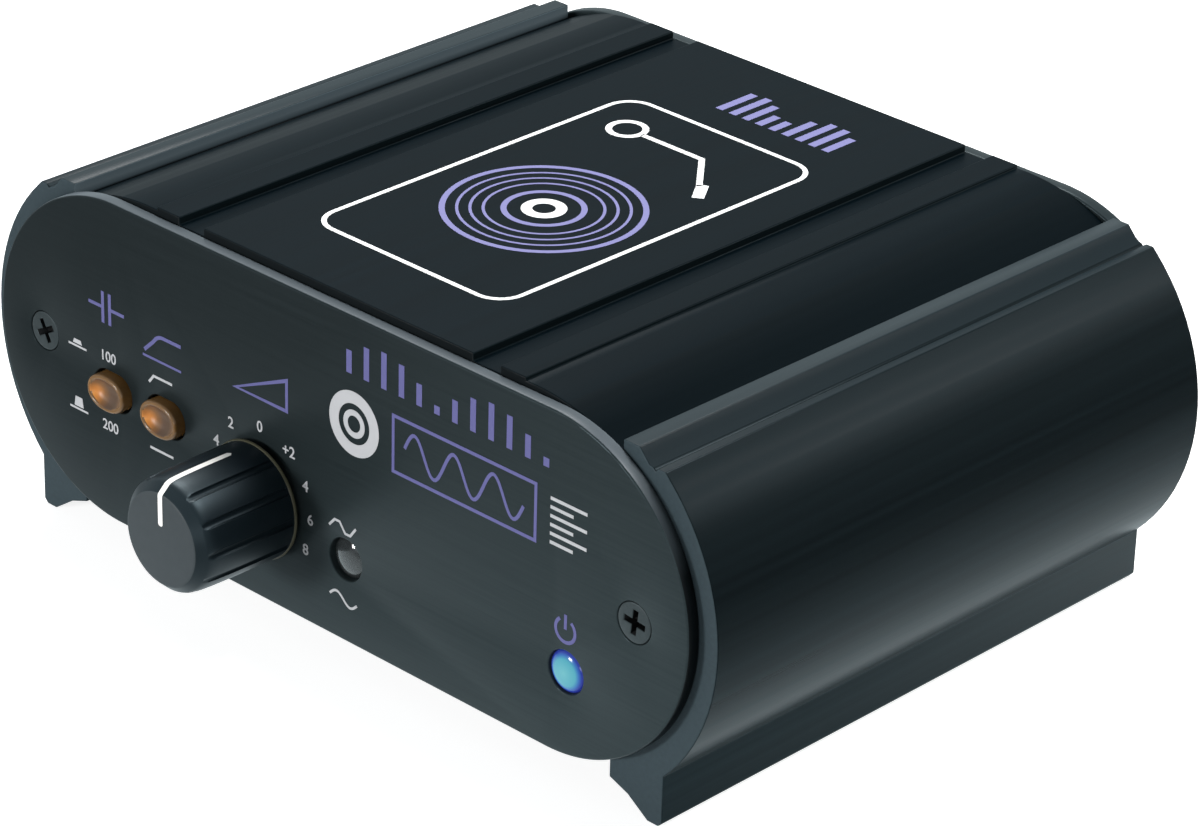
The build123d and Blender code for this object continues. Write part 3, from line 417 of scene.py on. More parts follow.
def rounded(x, z, width, height, corner, count=48):
    """Rectangle with rounded corners."""
    across, upward = width / 2 - corner, height / 2 - corner
    return [
        (x + dx + (across if dx > 0 else -across), z + dz + (upward if dz > 0 else -upward))
        for dx, dz in circle(0, 0, corner, count)
    ]


def oval(x, z, width, height, squareness=0.92, count=64):
    """Oval between an ellipse and a rounded rectangle."""
    points = []
    for dx, dz in circle(0, 0, 1, count):
        across = abs(dx) ** squareness * (1 if dx > 0 else -1)
        upward = abs(dz) ** squareness * (1 if dz > 0 else -1)
        points.append((x + width / 2 * across, z + height / 2 * upward))
    return points


def cross(x, z, reach, half_width, turn):
    """Outline of a cross, anticlockwise."""
    arm = [(reach, -half_width), (reach, half_width), (half_width, half_width)]
    points = []
    for quarter in range(4):
        angle = quarter * pi / 2 + turn
        for dx, dz in arm:
            points.append(
                (x + dx * cos(angle) - dz * sin(angle), z + dx * sin(angle) + dz * cos(angle))
            )
    return points


def ring(bm, points, y):
    """Closed chain of edges across the Y axis."""
    verts = [bm.verts.new((x, y, z)) for x, z in points]
    return [bm.edges.new(pair) for pair in zip(verts, verts[1:] + verts[:1])]


def skin(bm, rings):
    """Wall through a row of rings."""
    for one, other in zip(rings, rings[1:]):
        bmesh.ops.bridge_loops(bm, edges=one + other)


def fill(bm, edges):
    """Flat face with holes inside its edges."""
    bmesh.ops.triangle_fill(bm, use_beauty=True, use_dissolve=False, edges=edges)


def eased(bm, points, y_from, y_to, ease, sign, steps=3):
    """Wall of an outline with both ends rounded over; returns its first and last rings."""
    inward = 1 if y_to > y_from else -1
    angles = [step / steps * pi / 2 for step in range(steps + 1)]
    places = [(angle, y_from + inward * ease * (1 - cos(angle))) for angle in angles]
    places += [(angle, y_to - inward * ease * (1 - cos(angle))) for angle in reversed(angles)]
    rings = [ring(bm, grown(points, -sign * ease * (1 - sin(angle))), y) for angle, y in places]
    skin(bm, rings)
    return rings[0], rings[-1]


def slab(outline, holes, y_from, y_to, ease):
    """Plate across the Y axis with rounded-over edges and holes."""
    bm = bmesh.new()
    caps = [eased(bm, outline, y_from, y_to, ease, 1)]
    caps += [eased(bm, hole, y_from, y_to, ease * 0.6, -1) for hole in holes]
    for end in (0, 1):
        fill(bm, [edge for cap in caps for edge in cap[end]])
    return bm


def turned(profile, x, z, steps):
    """Solid turned about a line along Y, from (radius, y) points that start and end on the line."""
    bm = bmesh.new()
    verts = [bm.verts.new((x + radius, y, z)) for radius, y in profile]
    edges = [bm.edges.new(pair) for pair in zip(verts, verts[1:])]
    bmesh.ops.spin(
        bm, geom=verts + edges, cent=(x, 0, z), axis=(0, 1, 0), angle=2 * pi, steps=steps,
        use_merge=True, use_duplicate=False,
    )
    bmesh.ops.remove_doubles(bm, verts=bm.verts, dist=0.0005)
    return bm


def joined(pieces):
    """Several shapes in one mesh."""
    whole = bmesh.new()
    for bm in pieces:
        mesh = bpy.data.meshes.new("part")
        bm.to_mesh(mesh)
        bm.free()
        whole.from_mesh(mesh)
        bpy.data.meshes.remove(mesh)
    return whole


def dressed(name, mesh, body, paints, replaces=(), sharp=30):
    """Object for a mesh in metres: shaded, painted, and hung on its body."""
    obj = bpy.data.objects.new(name, mesh)
    bpy.context.scene.collection.objects.link(obj)
    for mat in paints:
        mesh.materials.append(mat)
    mesh.shade_smooth()
    mesh.set_sharp_from_angle(angle=radians(sharp))
    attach(obj, body)
    if replaces:
        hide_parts(*replaces)
    return obj


def finished(name, bm, body, paints, replaces=(), sharp=30):
    """Object for a shape drawn in millimetres."""
    bmesh.ops.recalc_face_normals(bm, faces=bm.faces)
    bmesh.ops.scale(bm, vec=(MM, MM, MM), verts=bm.verts)
    mesh = bpy.data.meshes.new(name)
    bm.to_mesh(mesh)
    bm.free()
    return dressed(name, mesh, body, paints, replaces, sharp)


def merged(node, name, body, paints, ease):
    """A CAD node with its triangles joined up, so that curves shade smoothly."""
    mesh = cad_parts[node].data.copy()
    mesh.name = name
    mesh.materials.clear()
    bm = bmesh.new()
    bm.from_mesh(mesh)
    bmesh.ops.remove_doubles(bm, verts=bm.verts, dist=1e-6)
    bmesh.ops.dissolve_limit(
        bm, angle_limit=radians(0.4), use_dissolve_boundaries=False, verts=bm.verts, edges=bm.edges,
        delimit=set(),
    )
    bm.to_mesh(mesh)
    bm.free()
    obj = dressed(name, mesh, body, paints, (node,))
    if ease:
        edge = obj.modifiers.new("eased_edges", "BEVEL")
        edge.width = ease * MM
        edge.segments = 2
        edge.limit_method = "ANGLE"
        edge.angle_limit = radians(35)
    return obj


# ---------------------------------------------------------------- case and plates

# Openings in the plates: radii, and for a button the width, height and corner.
BUTTON_OPENING = (6.6, 4.8, 2.25)
KNOB_OPENING, LAMP_OPENING = 3.6, 2.6
SOCKET_OPENING, BLOCK_SCREW_OPENING, INLET_OPENING, GROUND_OPENING = 5.15, 1.6, 4.55, 2.15


def plate(name, node, face_y, inward, openings, paints):
    """End plate with rounded-over edges, two screw holes and the openings of what stands in it."""
    holes = [circle(side * SCREW_X, SCREW_Z, HEAD_RADIUS + HEAD_CLEARANCE, 48) for side in (-1, 1)]
    outline = obround(PLATE_X, PLATE_RADIUS, SCREW_Z)
    bm = slab(outline, holes + openings, face_y, face_y + inward * PLATE_THICKNESS, PLATE_EASE)
    return finished(name, bm, "case", paints, (node,))


def front_plate():
    """Front plate; its edge carries painted light: a painted highlight along the top and painted
    shade down the sides.
    """
    openings = [rounded(x, BUTTON_Z, *BUTTON_OPENING) for x in BUTTON_X]
    openings.append(circle(KNOB_X, KNOB_Z, KNOB_OPENING))
    openings += [circle(x, LED_Z, LAMP_OPENING) for x in (CLIP_LED_X, POWER_LED_X)]
    obj = plate("front_panel", "front_plate", FRONT_Y, 1, openings, [front_anodised_painted_shade, plate_rim_painted_light])
    # Faces round the edge take the painted highlight and shade.
    for face in obj.data.polygons:
        x = max(abs(face.center.x) / MM - PLATE_X, 0.0)
        z = face.center.z / MM - SCREW_Z
        if abs(face.normal.y) < 0.6 and sqrt(x * x + z * z) > PLATE_RIM_RADIUS:
            face.material_index = 1


def rear_plate():
    """Rear plate with openings for the sockets, their screws, the inlet and the ground terminal."""
    openings = [circle(x, SOCKET_Z, SOCKET_OPENING) for x in SOCKET_X]
    openings += [circle(x, SOCKET_Z, BLOCK_SCREW_OPENING, 32) for x in BLOCK_SCREW_X]
    openings.append(circle(INLET_X, INLET_Z, INLET_OPENING))
    openings.append(circle(GROUND_X, SOCKET_Z, GROUND_OPENING, 32))
    plate("rear_panel", "rear_plate", REAR_Y, -1, openings, [plate_anodised])


def on_underside(vert):
    """Whether a corner of the case lies in the flat of its underside."""
    return abs(vert.co.z / MM - UNDERSIDE_Z) < 0.01


def round_underside(mesh):
    """Bend the underside up beside the feet, along the round ends of the plates."""
    bm = bmesh.new()
    bm.from_mesh(mesh)
    for x in UNDERSIDE_CUTS:
        for side in (-x, x):
            faces = [
                face for face in bm.faces
                if face.normal.z < -0.99 and all(on_underside(vert) for vert in face.verts)
            ]
            edges = {edge for face in faces for edge in face.edges}
            verts = {vert for face in faces for vert in face.verts}
            bmesh.ops.bisect_plane(
                bm, geom=[*faces, *edges, *verts], plane_co=(side * MM, 0, 0), plane_no=(1, 0, 0),
                dist=1e-7,
            )
    for vert in bm.verts:
        beyond = abs(vert.co.x) / MM - PLATE_X
        if beyond > 0 and on_underside(vert):
            vert.co.z = (SCREW_Z - sqrt(UNDERSIDE_RADIUS**2 - beyond**2)) * MM
    bm.to_mesh(mesh)
    bm.free()


X, Y, Z = range(3)
ANYWHERE = (-1.0, 99.0)
# Where the case takes a tint of its own, mostly painted light: lighter copies of the anodising on
# the crests and ledges are painted highlight, the ridge walls carry a painted shadow at the foot
# and a painted highlight above, darker copies on the top and shoulders are painted shade, and the
# cut ends are a lighter cut finish with painted shade near the top. Each row gives the axis that a
# face looks along and how nearly, then its middle's place across and upwards, in millimetres.
CASE_FINISHES = (
    (case_cut_painted_shade, Y, (0.9, 2.0), ANYWHERE, ANYWHERE),
    (crest_painted_highlight, Z, (0.98, 2.0), ANYWHERE, (43.9, 44.3)),
    (case_top_painted_shade, Z, (0.98, 2.0), ANYWHERE, (44.9, 99.0)),
    (ridge_wall_painted_light, X, (0.98, 2.0), (43.6, 43.9), (42.0, 99.0)),
    (case_ledge_painted_highlight, Z, (0.9, 2.0), (47.5, 49.8), (42.0, 99.0)),
    (case_ledge_painted_highlight, Z, (0.5, 0.9), (46.1, 47.4), (42.5, 99.0)),
    (case_shoulder_painted_shade, Z, (0.7, 2.0), (SHOULDER_FROM, SHOULDER_TO), (40.0, 99.0)),
)


def case():
    """Extruded sleeve: shoulders rise to the ridges, the raised top is let down for its print."""
    paints = [case_anodised_painted_light, case_cut_painted_shade, crest_painted_highlight, case_top_painted_shade, ridge_wall_painted_light, case_ledge_painted_highlight, case_shoulder_painted_shade]
    obj = merged("extruded_case", "case_extrusion", "case", paints, ease=0.14)
    round_underside(obj.data)
    for vert in obj.data.vertices:
        x, z = abs(vert.co.x) / MM, vert.co.z / MM
        if z > TOP_Z - 0.01:
            vert.co.z -= TOP_LOWERED * MM
        elif SHOULDER_FROM + 0.1 < x < SHOULDER_TO + 0.05:
            arch = SHOULDER_Z + sqrt(SHOULDER_RADIUS**2 - (x - SHOULDER_X) ** 2)
            if abs(z - arch) < 0.06:
                rise = (x - SHOULDER_FROM) / (SHOULDER_TO - SHOULDER_FROM)
                vert.co.z += SHOULDER_LIFT * rise**2 * MM
    # Faces take the tints listed above, mostly painted light and shade.
    for face in obj.data.polygons:
        looks = (abs(face.normal.x), abs(face.normal.y), face.normal.z)
        x, z = abs(face.center.x) / MM, face.center.z / MM
        for mat, axis, share, across, upward in CASE_FINISHES:
            measures = ((looks[axis], share), (x, across), (z, upward))
            if all(low < value < high for value, (low, high) in measures):
                face.material_index = paints.index(mat)
                break


# Screws: half length, half width and depth of the cross; radius and depth of the head and shank.
SCREW_RECESS = ((0.95, 0.26, 1.1), (1.5, 0.36, 0.12), (1.62, 0.42, 0.04))
SCREW_PROFILE = (
    (HEAD_RADIUS - 0.22, 0.04), (HEAD_RADIUS - 0.08, 0.08), (HEAD_RADIUS, 0.2),
    (THREAD_RADIUS, 1.3), (THREAD_RADIUS, 9.9),
)
LEFT_SCREW_TURN, RIGHT_SCREW_TURN = radians(28), radians(-6)


def plate_screws(name, node, face_y, inward):
    """Countersunk cross-head screws with a tapered cross recess."""
    heads = []
    for x, turn in ((-SCREW_X, LEFT_SCREW_TURN), (SCREW_X, RIGHT_SCREW_TURN)):
        bm = bmesh.new()
        recess = [
            ring(bm, cross(x, SCREW_Z, reach, half_width, turn), face_y + inward * depth)
            for reach, half_width, depth in SCREW_RECESS
        ]
        rim = [
            ring(bm, circle(x, SCREW_Z, radius, 48), face_y + inward * depth)
            for radius, depth in SCREW_PROFILE
        ]
        skin(bm, recess)
        skin(bm, rim)
        fill(bm, recess[0])
        fill(bm, recess[-1] + rim[0])
        fill(bm, rim[-1])
        # Faces down inside the cross recess take the painted shade.
        for face in bm.faces:
            middle = face.calc_center_median()
            off_axis = sqrt((middle.x - x) ** 2 + (middle.z - SCREW_Z) ** 2)
            if off_axis < THREAD_RADIUS - 0.04 and 0.1 < abs(middle.y - face_y) < 1.2:
                face.material_index = 1
        heads.append(bm)
    return finished(name, joined(heads), "case", [black_oxide, recess_painted_shade], (node,))


# ---------------------------------------------------------------- knob

# Rings along the knob are radius and y; those of its skirt are radius and distance from its base.
KNOB_RADIUS = 7.05
KNOB_BASE_Y, SKIRT_TOP = -40.4, 0.5
CROWN = (
    (KNOB_RADIUS, -46.0), (7.03, -48.5), (6.99, -50.5), (6.93, -51.9), (6.86, -52.6),
    (6.76, -53.05), (6.62, -53.36),
)
CHAMFER = tuple((6.62 - step * 0.12, -53.36 - step * 0.13) for step in range(1, 6))
FACE_EDGE = ((5.78, -54.28), (5.68, -54.38), (5.55, -54.45), (5.4, -54.48))
NUT_RECESS_RADIUS, NUT_RECESS_DEPTH = 5.6, 2.8
SKIRT = ((6.95, 0.0), (7.16, 0.08), (7.22, 0.22), (7.16, 0.38), (KNOB_RADIUS, 0.46))
FLUTES = 12
FLUTE_ANGLE = 2 * pi / FLUTES
FLUTE_HALF, FLUTE_DEPTH = 0.5 / KNOB_RADIUS, 0.42
FLUTE_STEPS = (-1.0, -0.75, -0.45, -0.15, 0.15, 0.45, 0.75, 1.0)
LAND_STEPS = 10
POINTER_HALF, POINTER_LIFT = 0.36, 0.02
POINTER_START, POINTER_END = (-43.9, 7.07), (-54.5, 1.7)


def flute_outline():
    """Angles round the knob and the depth cut at each; the pointer has the first flute's place."""
    steps = []
    land = FLUTE_ANGLE - 2 * FLUTE_HALF
    for flute in range(FLUTES):
        middle = pi / 2 + flute * FLUTE_ANGLE
        depth = FLUTE_DEPTH if flute else 0.0
        for part in FLUTE_STEPS:
            steps.append((middle + part * FLUTE_HALF, depth * sqrt(max(0.0, 1 - part * part))))
        for step in range(1, LAND_STEPS):
            steps.append((middle + FLUTE_HALF + step / LAND_STEPS * land, 0.0))
    return steps


def knob_ring(bm, radius, y, fluted):
    """Ring round the knob, cut by the flutes where it is fluted and wide enough."""
    points = []
    for angle, depth in flute_outline():
        reach = min(radius, KNOB_RADIUS - depth) if fluted else radius
        points.append((KNOB_X + reach * cos(angle), KNOB_Z + reach * sin(angle)))
    return ring(bm, points, y)


def knob():
    """Fluted knob: nut recess, narrow skirt, crowned sides, rounded chamfer, satin face."""
    bm = bmesh.new()
    rings = [
        knob_ring(bm, NUT_RECESS_RADIUS, KNOB_BASE_Y - NUT_RECESS_DEPTH, False),
        knob_ring(bm, NUT_RECESS_RADIUS, KNOB_BASE_Y, False),
    ]
    rings += [knob_ring(bm, radius, KNOB_BASE_Y - out, False) for radius, out in SKIRT]
    rings.append(knob_ring(bm, KNOB_RADIUS, KNOB_BASE_Y - SKIRT_TOP, True))
    rings += [knob_ring(bm, radius, y, True) for radius, y in CROWN + CHAMFER]
    rings += [knob_ring(bm, radius, y, False) for radius, y in FACE_EDGE]
    skin(bm, rings)
    fill(bm, rings[0])
    fill(bm, rings[-1])
    bmesh.ops.recalc_face_normals(bm, faces=bm.faces)
    face_y = FACE_EDGE[-1][1]
    # The front face takes the satin; the outer faces of the skirt take the painted highlight.
    for face in bm.faces:
        middle = face.calc_center_median()
        off_axis = sqrt((middle.x - KNOB_X) ** 2 + (middle.z - KNOB_Z) ** 2)
        if middle.y < face_y + 0.12:
            face.material_index = 1
        elif middle.y > KNOB_BASE_Y - SKIRT_TOP + 0.06 and off_axis > KNOB_RADIUS - 0.01:
            face.material_index = 2
    paints = [knob_gloss, knob_satin, knob_skirt_painted_highlight]
    return finished("control_knob", bm, "knob", paints, ("gain_knob",), sharp=24)


def knob_pointer():
    """White line over the side, chamfer and face: pointed by the skirt, round on the face."""
    angles = [step / 6 * pi / 2 for step in range(7)]
    start_y, start_height = POINTER_START
    end_y, end_height = POINTER_END
    stations = [
        (start_y - POINTER_HALF * sin(angle), start_height, POINTER_HALF * sin(angle))
        for angle in angles
    ]
    for radius, y in CROWN + CHAMFER + FACE_EDGE:
        forward = POINTER_LIFT if radius < 6.9 else 0.0
        stations.append((y - forward, radius + POINTER_LIFT, POINTER_HALF))
    stations += [
        (end_y, end_height + POINTER_HALF * (1 - sin(angle)), POINTER_HALF * cos(angle))
        for angle in angles
    ]
    bm = bmesh.new()
    rows = []
    for y, height, width in stations:
        width = max(width, 0.01)
        rows.append([bm.verts.new((KNOB_X + side * width, y, KNOB_Z + height)) for side in (-1, 1)])
    for (left, right), (next_left, next_right) in zip(rows, rows[1:]):
        bm.faces.new((left, right, next_right, next_left))
    made = bmesh.ops.extrude_face_region(bm, geom=list(bm.faces))
    moved = [item for item in made["geom"] if isinstance(item, bmesh.types.BMVert)]
    bmesh.ops.translate(bm, vec=(0, 0.08, -0.1), verts=moved)
    return finished("knob_pointer_line", bm, "knob", [pointer_white])


# ---------------------------------------------------------------- buttons and lamps

CAP_WIDTH, CAP_HEIGHT, CAP_Y = 6.3, 4.55, -40.9
DISH_REACH_X, DISH_REACH_Z, DISH_DEPTH = 2.62, 1.76, 0.95
# Rings of a cap, from its back over the rim into the hollow: inset and depth.
CAP_PROFILE = (
    (0.0, 5.7), (0.0, 0.4), (0.05, 0.2), (0.16, 0.05), (0.32, 0.0), (0.48, 0.04), (0.62, 0.18),
    (0.85, 0.42), (1.2, 0.66), (1.7, 0.82), (2.15, 0.88),
)
LENS_RADIUS, LENS_DOME, LENS_STEPS = 2.54, 0.9, 12
FLANGE_RADIUS, FLANGE_BACK, FLANGE_THICKNESS = 2.9, 7.8, 1.0


def push_button(name, node, x, body):
    """Amber oval cap with a thin raised rim round a hollow."""
    bm = bmesh.new()
    rings = [
        ring(bm, oval(x, BUTTON_Z, CAP_WIDTH - 2 * inset, CAP_HEIGHT - 2 * inset), CAP_Y + depth)
        for inset, depth in CAP_PROFILE
    ]
    skin(bm, rings)
    fill(bm, rings[0])
    fill(bm, rings[-1])
    # Faces in the hollow take the amber with the painted glow.
    for face in bm.faces:
        middle = face.calc_center_median()
        across, upward = (middle.x - x) / DISH_REACH_X, (middle.z - BUTTON_Z) / DISH_REACH_Z
        if middle.y < CAP_Y + DISH_DEPTH and across**2 + upward**2 < 1.0:
            face.material_index = 1
    return finished(name, bm, body, [amber, amber_dish_painted_glow(x)], (node,), sharp=50)


def lamp(name, node, x, paint, proud):
    """Round lamp: flange, barrel and shallow dome that stands proud of the plate or sits back."""
    tip_y = FRONT_Y - proud
    flange_y = FRONT_Y + FLANGE_BACK
    profile = [(0.0, tip_y)]
    for step in range(1, LENS_STEPS + 1):
        angle = step / LENS_STEPS * pi / 2
        profile.append((LENS_RADIUS * sin(angle), tip_y + LENS_DOME * (1 - cos(angle))))
    profile += [(LENS_RADIUS, flange_y), (FLANGE_RADIUS, flange_y)]
    profile += [(FLANGE_RADIUS, flange_y + FLANGE_THICKNESS), (0.0, flange_y + FLANGE_THICKNESS)]
    return finished(name, turned(profile, x, LED_Z, 48), "case", [paint], (node,), sharp=40)


# ---------------------------------------------------------------- prints, flat as (across, up)


def stroke(bm, points, width, closed=False):
    """Line of even width through a row of points."""
    count = len(points)
    sides = []
    for index, (u, v) in enumerate(points):
        along = []
        if index or closed:
            before = points[index - 1]
            along.append(Vector((u - before[0], v - before[1])).normalized())
        if index < count - 1 or closed:
            after = points[(index + 1) % count]
            along.append(Vector((after[0] - u, after[1] - v)).normalized())
        middle = sum(along, Vector((0, 0))).normalized()
        aside = Vector((-middle.y, middle.x)) * (width / 2 / max(middle.dot(along[0]), 0.4))
        sides.append([bm.verts.new((u + way * aside.x, v + way * aside.y, 0)) for way in (1, -1)])
    for (left, right), (next_left, next_right) in zip(sides, sides[1:] + sides[:1] * closed):
        bm.faces.new((right, next_right, next_left, left))


def patch(bm, points):
    """Filled outline."""
    bm.faces.new([bm.verts.new((u, v, 0)) for u, v in points])


def arc(u, v, radius, start, end, count=24):
    """Points on an arc; degrees."""
    angles = [radians(start + (end - start) * step / count) for step in range(count + 1)]
    return [(u + radius * cos(angle), v + radius * sin(angle)) for angle in angles]


def wave(u, v, length, height, turns, count):
    """Points on a wave line that starts at a place."""
    return [
        (u + length * step / count, v + height * sin(2 * turns * pi * step / count))
        for step in range(count + 1)
    ]


def number(bm, text, u, v, height):
    """A number set centrally at a place, with a given height."""
    curve = bpy.data.curves.new("number", "FONT")
    curve.body = text
    curve.offset = NUMBER_WEIGHT
    obj = bpy.data.objects.new("number", curve)
    bpy.context.scene.collection.objects.link(obj)
    mesh = bpy.data.meshes.new_from_object(obj)
    low, high = (
        [edge(vert.co[axis] for vert in mesh.vertices) for axis in (0, 1)] for edge in (min, max)
    )
    scale = height / (high[1] - low[1])
    shift = Vector((-(low[0] + high[0]) / 2, -(low[1] + high[1]) / 2, 0))
    place = Matrix.Translation((u, v, 0)) @ Matrix.Scale(scale, 4) @ Matrix.Translation(shift)
    mesh.transform(place)
    bm.from_mesh(mesh)
    bpy.data.objects.remove(obj)
    bpy.data.curves.remove(curve)
    bpy.data.meshes.remove(mesh)


ON_FRONT = Matrix(((1, 0, 0, 0), (0, 0, -1, FRONT_Y), (0, 1, 0, 0), (0, 0, 0, 1)))
ON_TOP = Matrix(((0, -1, 0, 0), (1, 0, 0, 0), (0, 0, 1, TOP_Z - INK), (0, 0, 0, 1)))
ON_REAR = Matrix(((-1, 0, 0, 0), (0, 0, 1, REAR_Y), (0, 1, 0, 0), (0, 0, 0, 1)))


def printed(name, bm, place, ink):
    """Turn a flat drawing into a thin layer of ink on a face."""
    bmesh.ops.remove_doubles(bm, verts=bm.verts, dist=0.004)
    bmesh.ops.recalc_face_normals(bm, faces=bm.faces)
    made = bmesh.ops.extrude_face_region(bm, geom=list(bm.faces))
    moved = [item for item in made["geom"] if isinstance(item, bmesh.types.BMVert)]
    bmesh.ops.translate(bm, vec=(0, 0, INK), verts=moved)
    bmesh.ops.transform(bm, matrix=place, verts=bm.verts)
    return finished(name, bm, "case", [ink])


def front_symbols():
    """Lavender signs over the controls: capacitor, filter curve, gain wedge, power sign."""
    bm = bmesh.new()
    for u in (-37.1, -35.9):
        stroke(bm, [(u, 29.4), (u, 33.4)], 0.5)
    stroke(bm, [(-39.6, 31.4), (-37.35, 31.4)], 0.42)
    stroke(bm, [(-35.65, 31.4), (-33.4, 31.4)], 0.42)
    knee = [(-29.9, 28.6), (-28.4, 30.0)] + arc(-26.7, 29.3, 1.75, 135, 90, 6) + [(-23.6, 31.05)]
    stroke(bm, knee, 0.45)
    stroke(bm, [(-30.2, 27.9), (-23.6, 27.9)], 0.3)
    stroke(bm, [(-14.4, 29.5), (-5.9, 29.5), (-5.9, 33.3)], 0.45, closed=True)
    stroke(bm, arc(37.8, 19.6, 1.45, 125, 415), 0.42)
    stroke(bm, [(37.8, 19.7), (37.8, 21.5)], 0.42)
    return printed("front_symbols", bm, ON_FRONT, ink_lavender)


DIAL = (
    ("4", -17.75, 21.55), ("2", -15.25, 24.65), ("0", -10.4, 25.95), ("+2", -5.6, 24.65),
    ("4", -2.9, 21.3), ("6", -2.1, 17.3), ("8", -2.9, 13.25),
)


def front_numbers():
    """White dial numbers, switch values and small signs."""
    bm = bmesh.new()
    for text, u, v in DIAL:
        number(bm, text, u, v, 1.4)
    number(bm, "100", -36.2, 25.25, 1.35)
    number(bm, "200", -36.2, 16.3, 1.35)
    stroke(bm, [(-29.2, 24.7), (-28.4, 25.7), (-25.2, 25.7)], 0.32)
    stroke(bm, [(-29.2, 16.3), (-25.2, 16.3)], 0.32)
    clipped = [(1.0, 18.0), (1.9, 19.0), (2.7, 19.0), (3.6, 17.8), (4.4, 17.8), (5.3, 19.0)]
    stroke(bm, clipped, 0.3)
    stroke(bm, wave(1.1, 9.35, 4.4, 0.7, 1, 24), 0.3)
    for v, rise in ((24.7, 0.55), (16.5, 1.25)):
        stroke(bm, [(-43.4, v), (-40.2, v)], 0.26)
        top = v + 0.3 + rise
        patch(bm, [(-42.6, v + 0.3), (-41.0, v + 0.3), (-41.2, top), (-42.4, top)])
    return printed("front_numbers", bm, ON_FRONT, ink_white)


def panel_drawing():
    """Lavender outlines of a plain level display beside the knob."""
    bm = bmesh.new()
    for step in range(12):
        u = 4.2 + step * 2.75
        height = 1.0 + 3.4 * abs(sin(0.55 + step * 0.52))
        stroke(bm, [(u, 38.0), (u, 38.0 + height)], 0.85)
    stroke(bm, [(11.2, 28.6), (33.0, 28.6), (33.0, 35.4), (11.2, 35.4)], 0.42, closed=True)
    stroke(bm, wave(13.0, 32.0, 18.2, 2.1, 3, 72), 0.42)
    return printed("panel_drawing", bm, ON_FRONT, ink_lavender)


def panel_disc():
    """White record and short scale lines of the same display."""
    bm = bmesh.new()
    stroke(bm, circle(5.0, 32.0, 3.2, 48), 1.5, closed=True)
    stroke(bm, circle(5.0, 32.0, 1.35, 32), 0.7, closed=True)
    for step in range(6):
        v = 34.6 - step * 1.05
        stroke(bm, [(35.2, v), (35.2 + (3.4 if step % 2 else 5.4), v)], 0.4)
    return printed("panel_disc", bm, ON_FRONT, ink_white)


def top_drawing():
    """Plain record deck drawn on the raised top: lavender record, white plinth and arm."""
    record = bmesh.new()
    for radius, width in ((11.6, 0.7), (9.9, 0.35), (8.4, 0.35), (6.9, 0.35), (4.6, 0.7)):
        stroke(record, circle(-6.0, -0.6, radius, 96), width, closed=True)
    for step in range(9):
        v = -11.5 + step * 2.1
        stroke(record, [(29.5, v), (29.5 + 2.0 + 4.6 * abs(sin(0.7 + 0.55 * step)), v)], 1.1)
    printed("top_drawing_record", record, ON_TOP, ink_lavender_top)
    deck = bmesh.new()
    corners = ((21.0, 11.6, 0), (-24.0, 11.6, 90), (-24.0, -11.6, 180), (21.0, -11.6, 270))
    plinth = [point for u, v, start in corners for point in arc(u, v, 3.4, start, start + 90, 8)]
    stroke(deck, plinth, 0.62, closed=True)
    stroke(deck, circle(-6.0, -0.6, 2.0, 40), 1.3, closed=True)
    stroke(deck, circle(17.2, 8.6, 2.2, 40), 0.8, closed=True)
    stroke(deck, [(17.2, 6.2), (17.2, -3.4), (11.4, -8.4)], 0.75)
    patch(deck, [(12.3, -9.1), (11.5, -7.9), (8.5, -9.9), (9.3, -11.1)])
    return printed("top_drawing_deck", deck, ON_TOP, ink_white_top)


def rear_signs():
    """White signs on the rear plate: arrows out of and into the sockets, ground and inlet signs."""
    bm = bmesh.new()
    for u, up in ((-BLOCK_SCREW_X[0], -1), (-BLOCK_SCREW_X[1], 1)):
        stroke(bm, [(u - 9.0, 31.6), (u + 9.0, 31.6)], 0.35)
        stroke(bm, [(u, 33.2), (u, 36.8)], 0.4)
        tip = 36.8 + 0.6 if up > 0 else 33.2 - 0.6
        base = tip - up * 1.3
        patch(bm, [(u - 1.0, base), (u + 1.0, base), (u, tip)][::up])
    for step, width in enumerate((3.4, 2.2, 1.0)):
        v = 30.2 - step * 0.8
        stroke(bm, [(-GROUND_X - width / 2, v), (-GROUND_X + width / 2, v)], 0.32)
    stroke(bm, [(-GROUND_X, 30.2), (-GROUND_X, 31.8)], 0.32)
    stroke(bm, circle(-INLET_X, 26.2, 1.5, 32), 0.35, closed=True)
    patch(bm, circle(-INLET_X, 26.2, 0.6, 24))
    for u in (-INLET_X - 4.2, -INLET_X + 1.5):
        stroke(bm, [(u, 26.2), (u + 2.7, 26.2)], 0.35)
    return printed("rear_signs", bm, ON_REAR, ink_white)


# ---------------------------------------------------------------- what the scene keeps from the CAD

# CAD nodes shown as they are, or replaced by a shape above: their finish and names.
PAINTED = (
    (case_anodised_painted_light, ("extruded_case",)),
    (plate_anodised, ("front_plate", "rear_plate")),
    (black_oxide, ("front_plate_screws", "rear_plate_screws")),
    (knob_gloss, ("gain_knob",)),
    (amber, ("input_cap_button", "filter_button")),
    (smoky_clear, ("clip_led",)),
    (lens_lit, ("power_led",)),
    (tin, ("power_inlet_tags", "chip_legs")),
    (spring_steel, ("input_cap_spring", "filter_spring")),
)
